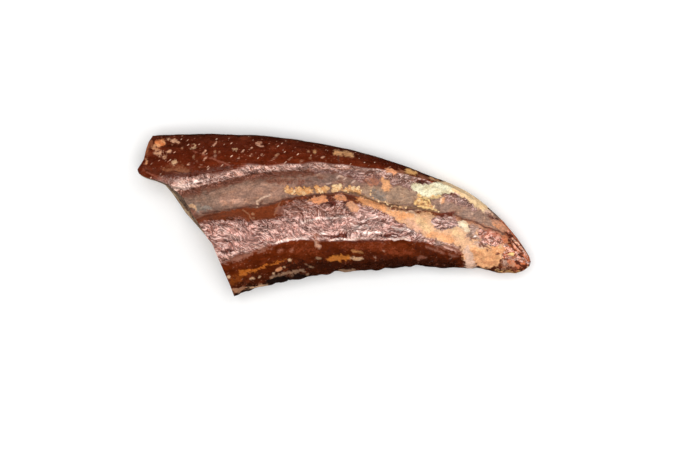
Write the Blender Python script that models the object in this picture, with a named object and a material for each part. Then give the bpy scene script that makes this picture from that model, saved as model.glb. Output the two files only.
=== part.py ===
"""A dinosaur's fossil claw: the bony core of one claw, turned to stone, lying on its side.

The claw is one solid. X runs from the broken base to the tip, Y from the belly edge to the back and Z up through
the thickness. Ten feature lines run along each side, such as the crest over the side groove and the bulge under
it. Every cross-section is a smooth closed curve through those lines, and a broken face cuts the base end off.
Lengths are in millimetres up to the last step, which makes the mesh in metres.
"""
import math

import bmesh
import bpy
import numpy as np
from mathutils import Vector, noise

MM = 0.001

# Driving dimensions of the claw, in mm.
BASE_X = -38.6          # where the feature lines start, beyond the broken end
BREAK_ENDS_BY = 0.0     # the broken end is nowhere past this x
TIP_X = 35.2            # the last cross-section before the tip closes
TIP_POLE = 35.45        # the very end of the tip
TIP_SMOOTH = 2.5        # length of the tip that stays free of lumps
TYPICAL_X = -16.0       # a cross-section typical of the claw

# How finely the mesh is made.
RINGS = 84              # cross-sections from the broken end to the tip
RING_CROWDING = 1.25    # over 1, the cross-sections crowd towards the tip
AROUND = 50             # points round one cross-section, an even number
CAP_ROWS = 10           # rows of the broken face between its two rims
HALVINGS = 40           # steps that find where the skin meets the broken end

# The feature lines as seen from the side, each from the base to the tip: (x, y).
BACK = ((-38.6, 13.9), (-31.0, 14.45), (-21.5, 14.65), (-12.0, 14.2), (-2.0, 12.75), (8.2, 10.35),
        (18.0, 6.8), (25.5, 3.2), (30.8, -1.55), (33.8, -5.15), (35.2, -7.45))
CREST = ((-38.6, 1.8), (-28.5, 4.95), (-17.9, 7.5), (-9.0, 8.65), (0.0, 8.7), (10.0, 7.5), (19.0, 5.25),
         (27.0, 1.1), (32.0, -3.75), (35.2, -7.9))
GROOVE_TOP = ((-38.6, -3.8), (-26.0, 2.2), (-17.0, 5.6), (-8.0, 7.1), (2.0, 7.25), (13.6, 5.2), (22.0, 2.6),
              (28.3, -1.1), (32.5, -5.0), (35.2, -8.1))
GROOVE_FOOT = ((-38.6, -6.3), (-24.6, -0.4), (-17.0, 1.25), (-12.0, 2.1), (-7.0, 3.3), (1.0, 3.9), (7.3, 2.5),
               (13.0, 1.1), (19.9, 0.35), (25.5, -1.2), (31.0, -4.2), (35.2, -8.3))
SHOULDER = ((-38.6, -8.5), (-23.7, -1.8), (-18.0, -0.75), (-12.5, -0.95), (-7.0, 0.85), (1.0, 2.3), (7.5, 1.4),
            (15.4, 0.0), (24.4, -1.9), (31.0, -5.25), (35.2, -8.45))
BULGE = ((-38.6, -12.9), (-21.9, -5.6), (-12.0, -2.95), (0.0, -1.8), (11.8, -2.25), (22.6, -3.9), (31.0, -6.8),
         (35.2, -8.7))
FLANK = ((-38.6, -16.2), (-20.2, -8.5), (-10.0, -5.25), (1.9, -4.5), (14.5, -4.8), (25.3, -6.5), (35.2, -8.85))
BELLY = ((-38.6, -21.4), (-18.1, -14.6), (-14.0, -13.05), (-8.0, -11.7), (0.0, -10.3), (6.0, -10.0),
         (12.0, -9.4), (19.0, -9.3), (26.0, -9.75), (31.0, -10.5), (34.1, -10.0), (35.2, -9.2))

# Half the thickness at the bulge, and the height of the middle plane over the surface the claw lies on: (x, mm).
HALF_THICKNESS = ((-38.6, 7.8), (-20.0, 7.65), (-10.0, 7.25), (0.0, 6.7), (10.0, 5.75), (20.0, 4.6), (28.0, 3.5),
                  (32.5, 2.55), (35.2, 0.95))
MIDDLE_HEIGHT = ((-38.6, 7.65), (-20.0, 7.5), (-10.0, 7.1), (0.0, 6.55), (10.0, 6.1), (22.0, 5.75),
                 (35.2, 5.45))

# How proud each line is of the middle plane, as a share of the half thickness. The upper side has the deeper
# groove. The lower side is worn: its crest is as proud as its bulge, so the claw lies on both.
BROW = 0.42             # the brow lies this far from the back to the crest
HEEL = 0.58             # the heel lies this far from the flank to the belly
UPPER_SHARES = {"brow": 0.61, "crest": 0.83, "groove_top": 0.66, "groove_foot": 0.60, "shoulder": 0.89,
                "bulge": 1.0, "flank": 0.93, "heel": 0.62}
LOWER_SHARES = {"brow": 0.72, "crest": 1.05, "groove_top": 0.88, "groove_foot": 0.80, "shoulder": 0.93,
                "bulge": 1.0, "flank": 0.93, "heel": 0.62}
GROOVE_FADES = (19.0, 32.0)     # the groove is full before the first x and gone after the second

# The broken end: x of the lower rim at each y, from the bottom corner up to the lip and the back.
BREAK_EDGE = ((-16.0, -17.6), (-14.0, -18.2), (-12.4, -18.8), (-8.8, -20.4), (-5.1, -22.0), (-1.5, -25.1),
              (0.5, -26.9), (2.3, -28.1), (4.3, -29.5), (5.6, -30.7), (6.2, -32.2), (6.8, -34.2), (7.4, -35.2),
              (8.2, -35.3), (9.9, -34.2), (12.0, -33.7), (13.3, -33.3), (14.2, -32.7))
BREAK_SET_BACK = ((-16.0, 0.1), (-4.0, 0.3), (-1.5, 1.0), (1.0, 1.7), (3.0, 1.8), (4.8, 1.2), (6.3, 0.7),
                  (8.0, 0.2), (14.0, 0.1))   # how far the upper rim lies behind the lower one, by y
BREAK_THICKNESS = 15.2  # the claw's thickness there
BREAK_HOLLOW = 1.0      # depth of the hollow of the broken face
BREAK_LUMPS = ((3.2, 0.55), (1.3, 0.28))    # its lumps: (size, height)
BREAK_LUMPS_RISE = 2.5  # how fast they rise from the rim

# Sand grains cemented in the groove: (x, y, radius, height).
CRUMBS = ((-8.2, 4.5, 0.9, 0.45), (-6.6, 4.9, 0.8, 0.35), (-5.6, 4.0, 1.0, 0.5), (-3.8, 4.4, 0.8, 0.4),
          (-2.4, 4.6, 1.0, 0.5), (-0.9, 4.9, 0.8, 0.35), (0.6, 4.7, 0.9, 0.5), (2.2, 4.8, 1.0, 0.45),
          (3.7, 4.7, 0.7, 0.35), (6.8, 3.7, 0.5, 0.3), (9.0, 1.9, 0.7, 0.3), (11.0, 1.7, 0.7, 0.3),
          (15.1, 2.4, 1.1, 0.5), (16.8, 2.0, 1.1, 0.45), (18.2, 1.2, 0.7, 0.3))

# Weathering of the surface: (size of the lumps, their height), both in mm.
SWELLS = (9.0, 0.2)
LUMPS = (2.6, 0.12)
BELLY_WEAR = (2.2, 0.5)         # the belly edge is rougher than the sides
BELLY_BAND = (0.5, 3.5)         # that wear is full up to the first height over the belly, gone by the second

CLAW_COLOUR = (0.155, 0.042, 0.018, 1.0)
CLAW_ROUGHNESS = 0.32
SHARP_ANGLE = math.radians(48)


def natural_spline(points):
    """Returns the smooth curve through (x, value) points as a function of an array of x."""
    xs, ys = np.array(points, float).T
    steps = np.diff(xs)
    count = len(xs)
    system = np.eye(count)
    right = np.zeros(count)
    for i in range(1, count - 1):
        system[i, i - 1:i + 2] = steps[i - 1], 2 * (steps[i - 1] + steps[i]), steps[i]
        right[i] = 6 * ((ys[i + 1] - ys[i]) / steps[i] - (ys[i] - ys[i - 1]) / steps[i - 1])
    bends = np.linalg.solve(system, right)

    def curve(x):
        i = np.clip(np.searchsorted(xs, x) - 1, 0, count - 2)
        h = steps[i]
        a = (xs[i + 1] - x) / h
        b = (x - xs[i]) / h
        bending = ((a ** 3 - a) * bends[i] + (b ** 3 - b) * bends[i + 1]) * h * h / 6
        return a * ys[i] + b * ys[i + 1] + bending

    return curve


def ring_weights(knots, samples):
    """Weights of each control point on each sample of a smooth closed curve, its knots running over 0..1."""
    count = len(knots)
    steps = np.diff(np.append(knots, knots[0] + 1.0))
    system = np.zeros((count, count))
    right = np.zeros((count, count))
    for i in range(count):
        before, after = steps[i - 1], steps[i]
        system[i, i - 1] += before
        system[i, i] += 2 * (before + after)
        system[i, (i + 1) % count] += after
        right[i, (i + 1) % count] += 6 / after
        right[i, i] -= 6 / after + 6 / before
        right[i, i - 1] += 6 / before
    bends = np.linalg.solve(system, right)
    weights = np.zeros((len(samples), count))
    for row, sample in enumerate(samples):
        i = int(np.searchsorted(knots, sample, side="right")) - 1
        after = (i + 1) % count
        h = steps[i]
        b = (sample - knots[i]) / h
        a = 1 - b
        weights[row, i] += a
        weights[row, after] += b
        weights[row] += ((a ** 3 - a) * bends[i] + (b ** 3 - b) * bends[after]) * h * h / 6
    return weights


def smoothstep(low, high, x):
    """0 below low, 1 above high and smooth between."""
    share = np.clip((x - low) / (high - low), 0, 1)
    return share * share * (3 - 2 * share)


def feature_lines():
    """The feature lines of one side, from the back to the belly, as named functions of x."""
    lines = {"back": BACK, "crest": CREST, "groove_top": GROOVE_TOP, "groove_foot": GROOVE_FOOT,
             "shoulder": SHOULDER, "bulge": BULGE, "flank": FLANK, "belly": BELLY}
    curves = {name: natural_spline(points) for name, points in lines.items()}

    def between(first, second, share):
        return lambda x: curves[first](x) * (1 - share) + curves[second](x) * share

    return {"back": curves["back"], "brow": between("back", "crest", BROW), "crest": curves["crest"],
            "groove_top": curves["groove_top"], "groove_foot": curves["groove_foot"],
            "shoulder": curves["shoulder"], "bulge": curves["bulge"], "flank": curves["flank"],
            "heel": between("flank", "belly", HEEL), "belly": curves["belly"]}


LINES = feature_lines()
half_thickness = natural_spline(HALF_THICKNESS)
middle_height = natural_spline(MIDDLE_HEIGHT)


def ring_order():
    """The control points of one cross-section in order: down the upper side, then up the lower side."""
    names = list(LINES)
    down = [(name, 1) for name in names]
    up = [(name, -1) for name in reversed(names[1:-1])]
    return down + up


def share_of(name, side, x):
    """How proud a line is of the middle plane at x. Towards the tip the section turns into a plain oval."""
    if name in ("back", "belly"):
        return np.zeros_like(x)
    shares = UPPER_SHARES if side > 0 else LOWER_SHARES
    centre = (LINES["back"](x) + LINES["belly"](x)) / 2
    reach = (LINES["back"](x) - LINES["belly"](x)) / 2
    offset = np.clip((LINES[name](x) - centre) / reach, -1, 1)
    oval = np.sqrt(1 - offset ** 2)
    fade = smoothstep(*GROOVE_FADES, x)
    return shares[name] * (1 - fade) + oval * fade


def section_knots():
    """Where each control point lies round the ring, from its distances on a typical cross-section."""
    x = np.array([TYPICAL_X])
    points = []
    for name, side in ring_order():
        z = side * share_of(name, side, x) * half_thickness(x)
        points.append((float(LINES[name](x)[0]), float(z[0])))
    points = np.array(points)
    gaps = np.linalg.norm(np.roll(points, -1, axis=0) - points, axis=1)
    return np.concatenate(([0.0], np.cumsum(gaps)[:-1])) / gaps.sum()


KNOTS = section_knots()


def surface(x, weights):
    """Points of the claw's skin: x is one array per sample of the ring, weights has one row per sample."""
    y = np.zeros_like(x)
    z = np.zeros_like(x)
    for column, (name, side) in enumerate(ring_order()):
        weight = weights[:, column]
        y += weight * LINES[name](x)
        z += weight * side * share_of(name, side, x) * half_thickness(x)
    return y, z + middle_height(x)


def break_x(y, z):
    """x of the broken end for a point of the rim."""
    edge_y, edge_x = np.array(BREAK_EDGE).T
    back_y, back_x = np.array(BREAK_SET_BACK).T
    upper = smoothstep(0.0, BREAK_THICKNESS, z)
    return np.interp(y, edge_y, edge_x) + upper * np.interp(y, back_y, back_x)


def break_line(weights):
    """x where each line of the skin meets the broken end, found by halving."""
    low = np.full(len(weights), BASE_X)
    high = np.full(len(weights), BREAK_ENDS_BY)
    for _ in range(HALVINGS):
        middle = (low + high) / 2
        y, z = surface(middle, weights)
        outside = middle < break_x(y, z)
        low = np.where(outside, middle, low)
        high = np.where(outside, high, middle)
    return (low + high) / 2


def lumps(point, sizes):
    """The height at a point of smooth lumps, given as (size, height) pairs in mm."""
    return sum(height * noise.noise(Vector(point) / size) for size, height in sizes)


def skin_grid():
    """The skin as an array of rings: RINGS x AROUND x 3. It starts at the back and goes down the upper side."""
    samples = np.arange(AROUND) / AROUND
    half = AROUND // 2
    belly = KNOTS[list(LINES).index("belly")]
    samples[:half] *= belly / 0.5
    samples[half:] = belly + (samples[half:] - 0.5) * (1 - belly) / 0.5
    weights = ring_weights(KNOTS, samples)
    start = break_line(weights)
    grid = np.zeros((RINGS, AROUND, 3))
    for ring in range(RINGS):
        along = ring / (RINGS - 1)
        share = 1 - (1 - along) ** RING_CROWDING
        x = start + (TIP_X - start) * share
        y, z = surface(x, weights)
        grid[ring] = np.stack((x, y, z), axis=1)
    return grid


def grid_normals(grid):
    """Unit normals of a grid that closes round its second axis."""
    along = np.gradient(grid, axis=0)
    around = np.roll(grid, -1, axis=1) - np.roll(grid, 1, axis=1)
    normals = np.cross(around, along)
    lengths = np.linalg.norm(normals, axis=2, keepdims=True)
    return normals / np.maximum(lengths, 1e-9)


def weathered(grid):
    """Adds the swells, lumps, worn belly edge and cemented grains to the skin."""
    normals = grid_normals(grid)
    middle = middle_height(grid[..., 0])
    belly_y = LINES["belly"](grid[..., 0])
    near_belly = 1 - smoothstep(*BELLY_BAND, grid[..., 1] - belly_y)
    heights = np.zeros(grid.shape[:2])
    for index in np.ndindex(heights.shape):
        point = grid[index]
        heights[index] = lumps(point, (SWELLS, LUMPS)) + near_belly[index] * lumps(point, (BELLY_WEAR,))
    upper = grid[..., 2] > middle
    for x, y, radius, rise in CRUMBS:
        away = np.hypot(grid[..., 0] - x, grid[..., 1] - y) / radius
        heights += upper * rise * np.exp(-away ** 2)
    heights *= 1 - smoothstep(TIP_X - TIP_SMOOTH, TIP_X, grid[..., 0])
    worn = grid + normals * heights[..., None]
    worn[..., 2] = np.maximum(worn[..., 2], 0.0)
    return worn


def broken_face(rim):
    """Rows of the broken face between the two rims: CAP_ROWS x (AROUND / 2 - 1) x 3."""
    half = AROUND // 2
    upper = rim[1:half]
    lower = rim[:half:-1]
    rows = np.zeros((CAP_ROWS, half - 1, 3))
    for row in range(CAP_ROWS):
        share = (row + 1) / (CAP_ROWS + 1)
        rows[row] = upper * (1 - share) + lower * share
        inward = 4 * share * (1 - share)
        for column in range(half - 1):
            span = math.sin(math.pi * (column + 1) / half)
            rough = lumps(rows[row, column], BREAK_LUMPS) * min(1.0, BREAK_LUMPS_RISE * inward)
            rows[row, column, 0] += (BREAK_HOLLOW * inward + rough) * span
    return rows


def claw_mesh():
    """The closed mesh of the claw, its origin under the middle of its box."""
    grid = weathered(skin_grid())
    face = broken_face(grid[0])
    tip = grid[-1].mean(axis=0)
    tip[0] = TIP_POLE
    points = np.concatenate((grid.reshape(-1, 3), face.reshape(-1, 3), [tip]))
    low, high = points.min(axis=0), points.max(axis=0)
    shift = np.array([(low[0] + high[0]) / 2, (low[1] + high[1]) / 2, low[2]])
    mesh = bmesh.new()
    corners = [mesh.verts.new(point * MM) for point in points - shift]

    def skin(ring, column):
        return corners[ring * AROUND + column % AROUND]

    half = AROUND // 2

    def end(row, column):
        """A corner of the broken face: column 0 is the back, column half is the belly edge."""
        if column in (0, half) or row == 0:
            return skin(0, column)
        if row == CAP_ROWS + 1:
            return skin(0, AROUND - column)
        return corners[RINGS * AROUND + (row - 1) * (half - 1) + column - 1]

    for ring in range(RINGS - 1):
        for column in range(AROUND):
            mesh.faces.new((skin(ring, column), skin(ring, column + 1), skin(ring + 1, column + 1),
                            skin(ring + 1, column)))
    for column in range(AROUND):
        mesh.faces.new((skin(RINGS - 1, column), skin(RINGS - 1, column + 1), corners[-1]))
    for row in range(CAP_ROWS + 1):
        for column in range(half):
            loop = (end(row, column), end(row + 1, column), end(row + 1, column + 1), end(row, column + 1))
            mesh.faces.new(tuple(dict.fromkeys(loop)))
    bmesh.ops.triangulate(mesh, faces=mesh.faces[:])
    bmesh.ops.recalc_face_normals(mesh, faces=mesh.faces[:])
    return mesh


def fossil_material():
    """Dark red-brown petrified bone with a low polish."""
    material = bpy.data.materials.new("petrified_bone")
    material.use_nodes = True
    shader = material.node_tree.nodes["Principled BSDF"]
    shader.inputs["Base Color"].default_value = CLAW_COLOUR
    shader.inputs["Roughness"].default_value = CLAW_ROUGHNESS
    shader.inputs["Metallic"].default_value = 0.0
    return material


def build_claw():
    """Makes the claw as one object."""
    mesh = claw_mesh()
    data = bpy.data.meshes.new("fossil_claw")
    mesh.to_mesh(data)
    mesh.free()
    data.materials.append(fossil_material())
    data.shade_smooth()
    data.set_sharp_from_angle(angle=SHARP_ANGLE)
    claw = bpy.data.objects.new("fossil_claw", data)
    bpy.context.scene.collection.objects.link(claw)
    return claw


for item in list(bpy.data.objects):
    bpy.data.objects.remove(item, do_unlink=True)
build_claw()
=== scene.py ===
"""The looks of a dinosaur's fossil claw lying on its side: petrified bone, cemented sand and a broken end.

The claw's form repeats the solid's own lines on a finer grid. Its markings are lists of painted strokes over
a ground colour that changes across the section. Lengths are in mm until the meshes are made, in metres.
"""

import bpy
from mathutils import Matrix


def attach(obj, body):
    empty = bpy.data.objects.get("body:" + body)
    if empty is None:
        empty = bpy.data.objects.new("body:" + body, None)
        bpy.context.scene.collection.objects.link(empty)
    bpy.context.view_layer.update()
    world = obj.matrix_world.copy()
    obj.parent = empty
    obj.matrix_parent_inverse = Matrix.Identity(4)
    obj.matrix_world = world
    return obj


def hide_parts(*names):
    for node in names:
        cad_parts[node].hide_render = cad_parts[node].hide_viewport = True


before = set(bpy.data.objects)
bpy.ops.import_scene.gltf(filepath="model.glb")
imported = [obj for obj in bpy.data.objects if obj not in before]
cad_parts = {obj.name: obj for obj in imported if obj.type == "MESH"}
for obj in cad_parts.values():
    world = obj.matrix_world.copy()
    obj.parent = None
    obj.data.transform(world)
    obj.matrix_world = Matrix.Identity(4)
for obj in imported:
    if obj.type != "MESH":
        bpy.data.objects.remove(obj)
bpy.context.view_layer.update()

import math

import bmesh
import bpy
import numpy as np
from mathutils import Matrix, Vector, noise

MM = 0.001

# The claw's form. X runs from the broken base to the tip, Y from the belly edge to the back and Z up through
# the thickness.
BASE_X = -38.6  # where the feature lines start, beyond the broken end
BREAK_ENDS_BY = 0.0  # the broken end is nowhere past this x
TIP_X = 35.2  # the last cross-section before the tip closes
TIP_POLE = 35.45  # the very end of the tip
TIP_SMOOTH = 2.5  # length of the tip that stays free of lumps
TYPICAL_X = -16.0  # a cross-section typical of the claw
RINGS = 306  # cross-sections from the broken end to the tip
RING_CROWDING = 1.12  # over 1, the cross-sections crowd towards the tip
AROUND = 300  # points round one cross-section, an even number
CAP_ROWS = 40  # rows of the broken face between its two rims
HALVINGS = 40  # steps that find where the skin meets the broken end
MIDDLE_CROWDING = 0.45  # over 0, the columns crowd towards the middle of each side
SHARP_ANGLE = math.radians(60)

# The feature lines as seen from the side, each from the base to the tip: (x, y).
BACK = ((-38.6, 13.9), (-31.0, 14.45), (-21.5, 14.65), (-12.0, 14.2), (-2.0, 12.75), (8.2, 10.35),
        (18.0, 6.8), (25.5, 3.2), (30.8, -1.55), (33.8, -5.15), (35.2, -7.45))
CREST = ((-38.6, 1.8), (-28.5, 4.95), (-17.9, 7.5), (-9.0, 8.65), (0.0, 8.7), (10.0, 7.5), (19.0, 5.25),
         (27.0, 1.1), (32.0, -3.75), (35.2, -7.9))
GROOVE_TOP = ((-38.6, -3.8), (-26.0, 2.2), (-17.0, 5.6), (-8.0, 7.1), (2.0, 7.25), (13.6, 5.2),
              (22.0, 2.6), (28.3, -1.1), (32.5, -5.0), (35.2, -8.1))
GROOVE_FOOT = ((-38.6, -6.3), (-24.6, -0.4), (-17.0, 1.25), (-12.0, 2.1), (-7.0, 3.3), (1.0, 3.9),
               (7.3, 2.5), (13.0, 1.1), (19.9, 0.35), (25.5, -1.2), (31.0, -4.2), (35.2, -8.3))
SHOULDER = ((-38.6, -8.5), (-23.7, -1.8), (-18.0, -0.75), (-12.5, -0.95), (-7.0, 0.85), (1.0, 2.3),
            (7.5, 1.4), (15.4, 0.0), (24.4, -1.9), (31.0, -5.25), (35.2, -8.45))
BULGE = ((-38.6, -12.9), (-21.9, -5.6), (-12.0, -2.95), (0.0, -1.8), (11.8, -2.25), (22.6, -3.9),
         (31.0, -6.8), (35.2, -8.7))
FLANK = ((-38.6, -16.2), (-20.2, -8.5), (-10.0, -5.25), (1.9, -4.5), (14.5, -4.8), (25.3, -6.5),
         (35.2, -8.85))
BELLY = ((-38.6, -21.4), (-18.1, -14.6), (-14.0, -13.05), (-8.0, -11.7), (0.0, -10.3), (6.0, -10.0),
         (12.0, -9.4), (19.0, -9.3), (26.0, -9.75), (31.0, -10.5), (34.1, -10.0), (35.2, -9.2))

# Half the thickness at the bulge, and the middle plane's height over the surface the claw lies on: (x, mm).
HALF_THICKNESS = ((-38.6, 7.8), (-20.0, 7.65), (-10.0, 7.25), (0.0, 6.7), (10.0, 5.75), (20.0, 4.6),
                  (28.0, 3.5), (32.5, 2.55), (35.2, 0.95))
MIDDLE_HEIGHT = ((-38.6, 7.65), (-20.0, 7.5), (-10.0, 7.1), (0.0, 6.55), (10.0, 6.1), (22.0, 5.75),
                 (35.2, 5.45))

# How proud each line is of the middle plane, as a share of the half thickness. The upper side has the deeper
# groove. The lower side is worn: its crest is as proud as its bulge, so the claw lies on both.
BROW = 0.42  # the brow lies this far from the back to the crest
HEEL = 0.58  # the heel lies this far from the flank to the belly
UPPER_SHARES = {"brow": 0.61, "crest": 0.83, "groove_top": 0.66, "groove_foot": 0.60, "shoulder": 0.89,
                "bulge": 1.0, "flank": 0.93, "heel": 0.62}
LOWER_SHARES = {"brow": 0.72, "crest": 1.05, "groove_top": 0.88, "groove_foot": 0.80, "shoulder": 0.93,
                "bulge": 1.0, "flank": 0.93, "heel": 0.62}
GROOVE_FADES = (19.0, 32.0)  # the groove is full before the first x and gone after the second

# The broken end: x of the lower rim at each y, from the bottom corner up to the lip and the back, and how
# much further in the upper rim lies.
BREAK_EDGE = ((-16.0, -17.6), (-14.0, -18.2), (-12.4, -18.8), (-8.8, -20.4), (-5.1, -22.0), (-1.5, -25.1),
              (0.5, -26.9), (2.3, -28.1), (4.3, -29.5), (5.6, -30.7), (6.2, -32.2), (6.8, -34.2),
              (7.4, -35.2), (8.2, -35.3), (9.9, -34.2), (12.0, -33.7), (13.3, -33.3), (14.2, -32.7))
BREAK_SET_BACK = ((-16.0, 0.1), (-4.0, 0.3), (-1.5, 1.0), (1.0, 1.7), (3.0, 1.8), (4.8, 1.2), (6.3, 0.7),
                  (8.0, 0.2), (14.0, 0.1))
BREAK_THICKNESS = 15.2  # the claw's thickness there
BREAK_HOLLOW = 1.0  # depth of the hollow of the broken face
BREAK_LUMPS = ((3.2, 0.55), (1.3, 0.28), (0.5, 0.14), (0.25, 0.07))  # its lumps: (size, height)
BREAK_LUMPS_RISE = 2.5  # how fast they rise from the rim

# Weathering of the surface: (size of the lumps, their height).
WEATHERING = ((9.0, 0.2), (2.6, 0.12), (0.9, 0.03))
BELLY_WEAR = ((2.2, 0.5), (0.9, 0.08))  # the belly edge is rougher than the sides
BELLY_BAND = (0.5, 3.5)  # that wear is full up to the first height over the belly, gone by the second
FOLDED = ((1.5, 0.1), (0.7, 0.05))  # the crinkled polish is uneven too
CREST_RIDGE = 0.16  # a low flat-topped ridge runs along the crest, this high
CREST_HALF_WIDTH = ((-32.0, 0.75), (-18.0, 0.55), (-8.0, 0.3), (30.0, 0.2))  # by x
CREST_EDGE = 0.45  # how wide its sloping edges are

# Sand grains cemented in the groove, as bumps of the skin: (x, y, radius, height).
CRUMBS = ((-8.2, 4.5, 0.9, 0.45), (-6.6, 4.9, 0.8, 0.35), (-5.6, 4.0, 1.0, 0.5), (-3.8, 4.4, 0.8, 0.4),
          (-2.4, 4.6, 1.0, 0.5), (-0.9, 4.9, 0.8, 0.35), (0.6, 4.7, 0.9, 0.5), (2.2, 4.8, 1.0, 0.45),
          (3.7, 4.7, 0.7, 0.35), (6.8, 3.7, 0.5, 0.3), (9.0, 1.9, 0.7, 0.3), (11.0, 1.7, 0.7, 0.3),
          (15.1, 2.4, 1.1, 0.5), (16.8, 2.0, 1.1, 0.45), (18.2, 1.2, 0.7, 0.3))

# The loose-looking grains on those bumps, strewn along runs: (number of grains, their radius, how pale they
# are, from 0, golden, to 1, cream, and the points of the run).
GRAIN_RUNS = (
    (4, 0.36, 0.6, ((-8.4, 4.6), (-7.4, 4.3))),
    (10, 0.25, 0.4, ((-8.5, 4.6), (-7.3, 4.2))),
    (6, 0.46, 0.1, ((-6.3, 4.5), (-5.4, 4.1), (-4.5, 4.3))),
    (28, 0.27, 0.2, ((-6.6, 4.5), (-5.4, 4.1), (-4.3, 4.3))),
    (4, 0.4, 0.4, ((-3.0, 4.5), (-2.2, 4.5), (-1.6, 4.6))),
    (15, 0.26, 0.35, ((-3.1, 4.4), (-2.2, 4.5), (-1.5, 4.7))),
    (4, 0.46, 0.9, ((0.0, 4.8), (1.0, 5.1))),
    (9, 0.27, 0.9, ((-0.1, 4.6), (1.1, 5.0))),
    (4, 0.36, 0.7, ((2.0, 4.6), (3.2, 4.8), (4.3, 4.6))),
    (20, 0.25, 0.6, ((1.8, 4.4), (3.1, 4.8), (4.6, 4.4))),
    (4, 0.24, 0.6, ((6.3, 4.0), (7.2, 3.4))),
    (8, 0.2, 0.8, ((8.4, 2.2), (10.4, 1.7), (12.7, 1.3))),
    (6, 0.26, 0.7, ((15.2, 2.9), (17.0, 1.6), (18.4, 0.9))),
)
GRAIN_SPREAD = 0.55  # how far grains lie off their run, in mm
GRAIN_SIZES = (0.6, 1.3)  # the smallest and the largest, as shares of the run's radius
GRAIN_SQUASH = (0.75, 1.2)  # how far each is squashed or drawn out along its own three axes
GRAIN_SUNK = 0.74  # how deep a grain sits, as a share of its radius
GRAIN_RAGGED = 0.42  # how uneven a grain is, as a share of its radius
GRAIN_LUMPS = ((1.3, 1.0), (4.0, 0.4))  # its lumps: (number to a radius, share)
GRAIN_APART = 5.0  # moves the noise from grain to grain
GRAIN_TONES = 0.5  # how far one grain's paleness strays from its run's
GRAIN_SEED = 11

# The materials. A noise has the size of its features in mm, one for all directions or one for each, its
# detail and its roughness. A span says at which values of what it goes by something starts and is full, and
# then what it goes from and to, if not 0 and 1. Shades multiply a colour: the first where the value that they
# go by is low, the second where it is high.
STREAKS = ((5.0, 0.8, 0.9), 4.0)  # long faint streaks along the bone
STREAK_SHADES = (0.76, 1.24)
PATCHES = ((2.4, 1.6, 1.6), 4.0)  # patches of redder and browner stone
PATCHED = (0.5, 0.75, 0.0, 0.6)
PATCH_COLOUR = (120, 50, 22)
FLECK_CELLS = (1.5, 0.38, 1.0)  # the pale flecks lie in cells of this size
FLECK_ANGLE = math.radians(42)  # they slant up towards the tip
FLECKED = (0.44, 0.48)  # cells above this have one, by their random numbers
FLECK_BREADTHS = (0.0, 1.0, 0.1, 0.31)
FLECK_EDGE = (0.0, -0.14)
FLECK_COLOURS = ((176, 114, 88), (238, 196, 168))
FLECK_COVER = 0.95
FLECK_ROUGHNESS = 0.5
FINE_UNREST = (0.3, 4.0, 0.65)  # these two break up the marks' edges, as far as LAYERS says
COARSE_UNREST = ((1.0, 0.8, 0.8), 3.0, 0.6)
MARK_EDGE = (-1.0, 1.0)  # a mark fades in over these edge widths
WARMTH = ((1.7, 1.1, 1.1), 4.0, 0.6)  # this warms the marks and makes the folds' turn uneven
WARMED = (0.42, 0.72, 0.0, 0.75)
WARM_TINT = (1.05, 0.9, 0.74, 1.0)
PALENESS = ((0.8, 0.6, 0.6), 4.0, 0.65)
PALED = (0.5, 0.8, 0.0, 0.5)
PALE_TINT = (1.08, 1.14, 1.16, 1.0)
STAIN_CELLS = (0.42, 0.36, 0.36)
STAINED = (0.66, 0.7)  # cells above this have a dark stain
STAIN_EDGE = (0.42, 0.16)
STAIN_SHARE = 0.45
STAIN_TINT = (0.5, 0.36, 0.3, 1.0)
MOTTLING = (1.1, 4.0, 0.6)
FINE_MOTTLING = ((0.34, 0.3, 0.3), 3.0, 0.7)
MOTTLE_SHADES = (0.78, 1.22)
FILL = ((1.4, 0.4, 0.4), 4.0, 0.7)  # the grit of the rough sandy fill
FILL_SHADES = (0.78, 1.24)
FILL_LEVELS = (0.34, 0.66)
FILLED = (0.45, 0.62)  # what is this rough counts as fill
SPECK_CELLS = (0.5, 0.4, 0.4)
SPECKED = (0.8, 0.84)  # cells above this have a speck
SPECK_EDGE = (0.4, 0.15)
SPECKS_BARE = (1.0, 0.0, 0.0, 0.3)  # specks show on bare bone only
SPECK_COLOUR = (176, 116, 86)

# The polish's folds slant down towards the tip, and past some place they turn nearly level. That place is x
# plus uneven noise, which adds about half the spread.
POLISHED = (0.34, 0.46, 1.0, 0.15)  # what is smoother is polished, and crinkles
CRINKLE_ANGLE = math.radians(-35)
TURN_SPREAD = 30.0
TURNS = (10.0, 18.0)
FOLD_DISTORTION = 0.8
FOLDS_BEND = (5.0, 5.0)  # they bend over stretches of the first size, by about half the second
FOLDS = (((1.7, 0.6, 0.7), CRINKLE_ANGLE), ((1.6, 0.6, 0.7), -CRINKLE_ANGLE / 3))  # before and after it
FOLD_WIDTH = 0.07  # widths are in the noise that makes them
WRINKLES = (((1.2, 0.28, 0.36), CRINKLE_ANGLE), ((1.1, 0.28, 0.36), -CRINKLE_ANGLE / 2))
WRINKLED = (0.38, 0.62)  # from their foot to their top
WRINKLE_SHARE = 0.9  # their height as a share of the folds'
# painted light and shade: darker at the wrinkles' feet, lighter on their tops
WRINKLE_SHADES = (0.56, 1.4)
GAPS = ((5.0, 1.5, 1.5), CRINKLE_ANGLE * 0.7)  # gaps part the folds, darkened as painted shade
GAP_WIDTH = 0.022
GAP_DEPTH = 0.6  # as a share of the folds' height
GAP_SHADOW_TINT = (0.5, 0.38, 0.35, 1.0)
# The creases are a broad noise: where low, it darkens the crinkles and weakens their painted highlights;
# where high, it lightens them.
CREASES = ((2.2, 1.0, 1.0), 3.0, 0.6)
CREASE_ANGLE = CRINKLE_ANGLE / 2
CREASED = (0.38, 0.62)
CREASE_SHADES = (0.72, 1.25)
LIT_RIDGES = (0.45, 1.5, 0.0, 0.95)  # painted highlights pale the polish on its ridges by their height,
LIT_CREASES = (0.36, 0.56, 0.45, 1.0)  # less in the creases,
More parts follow.
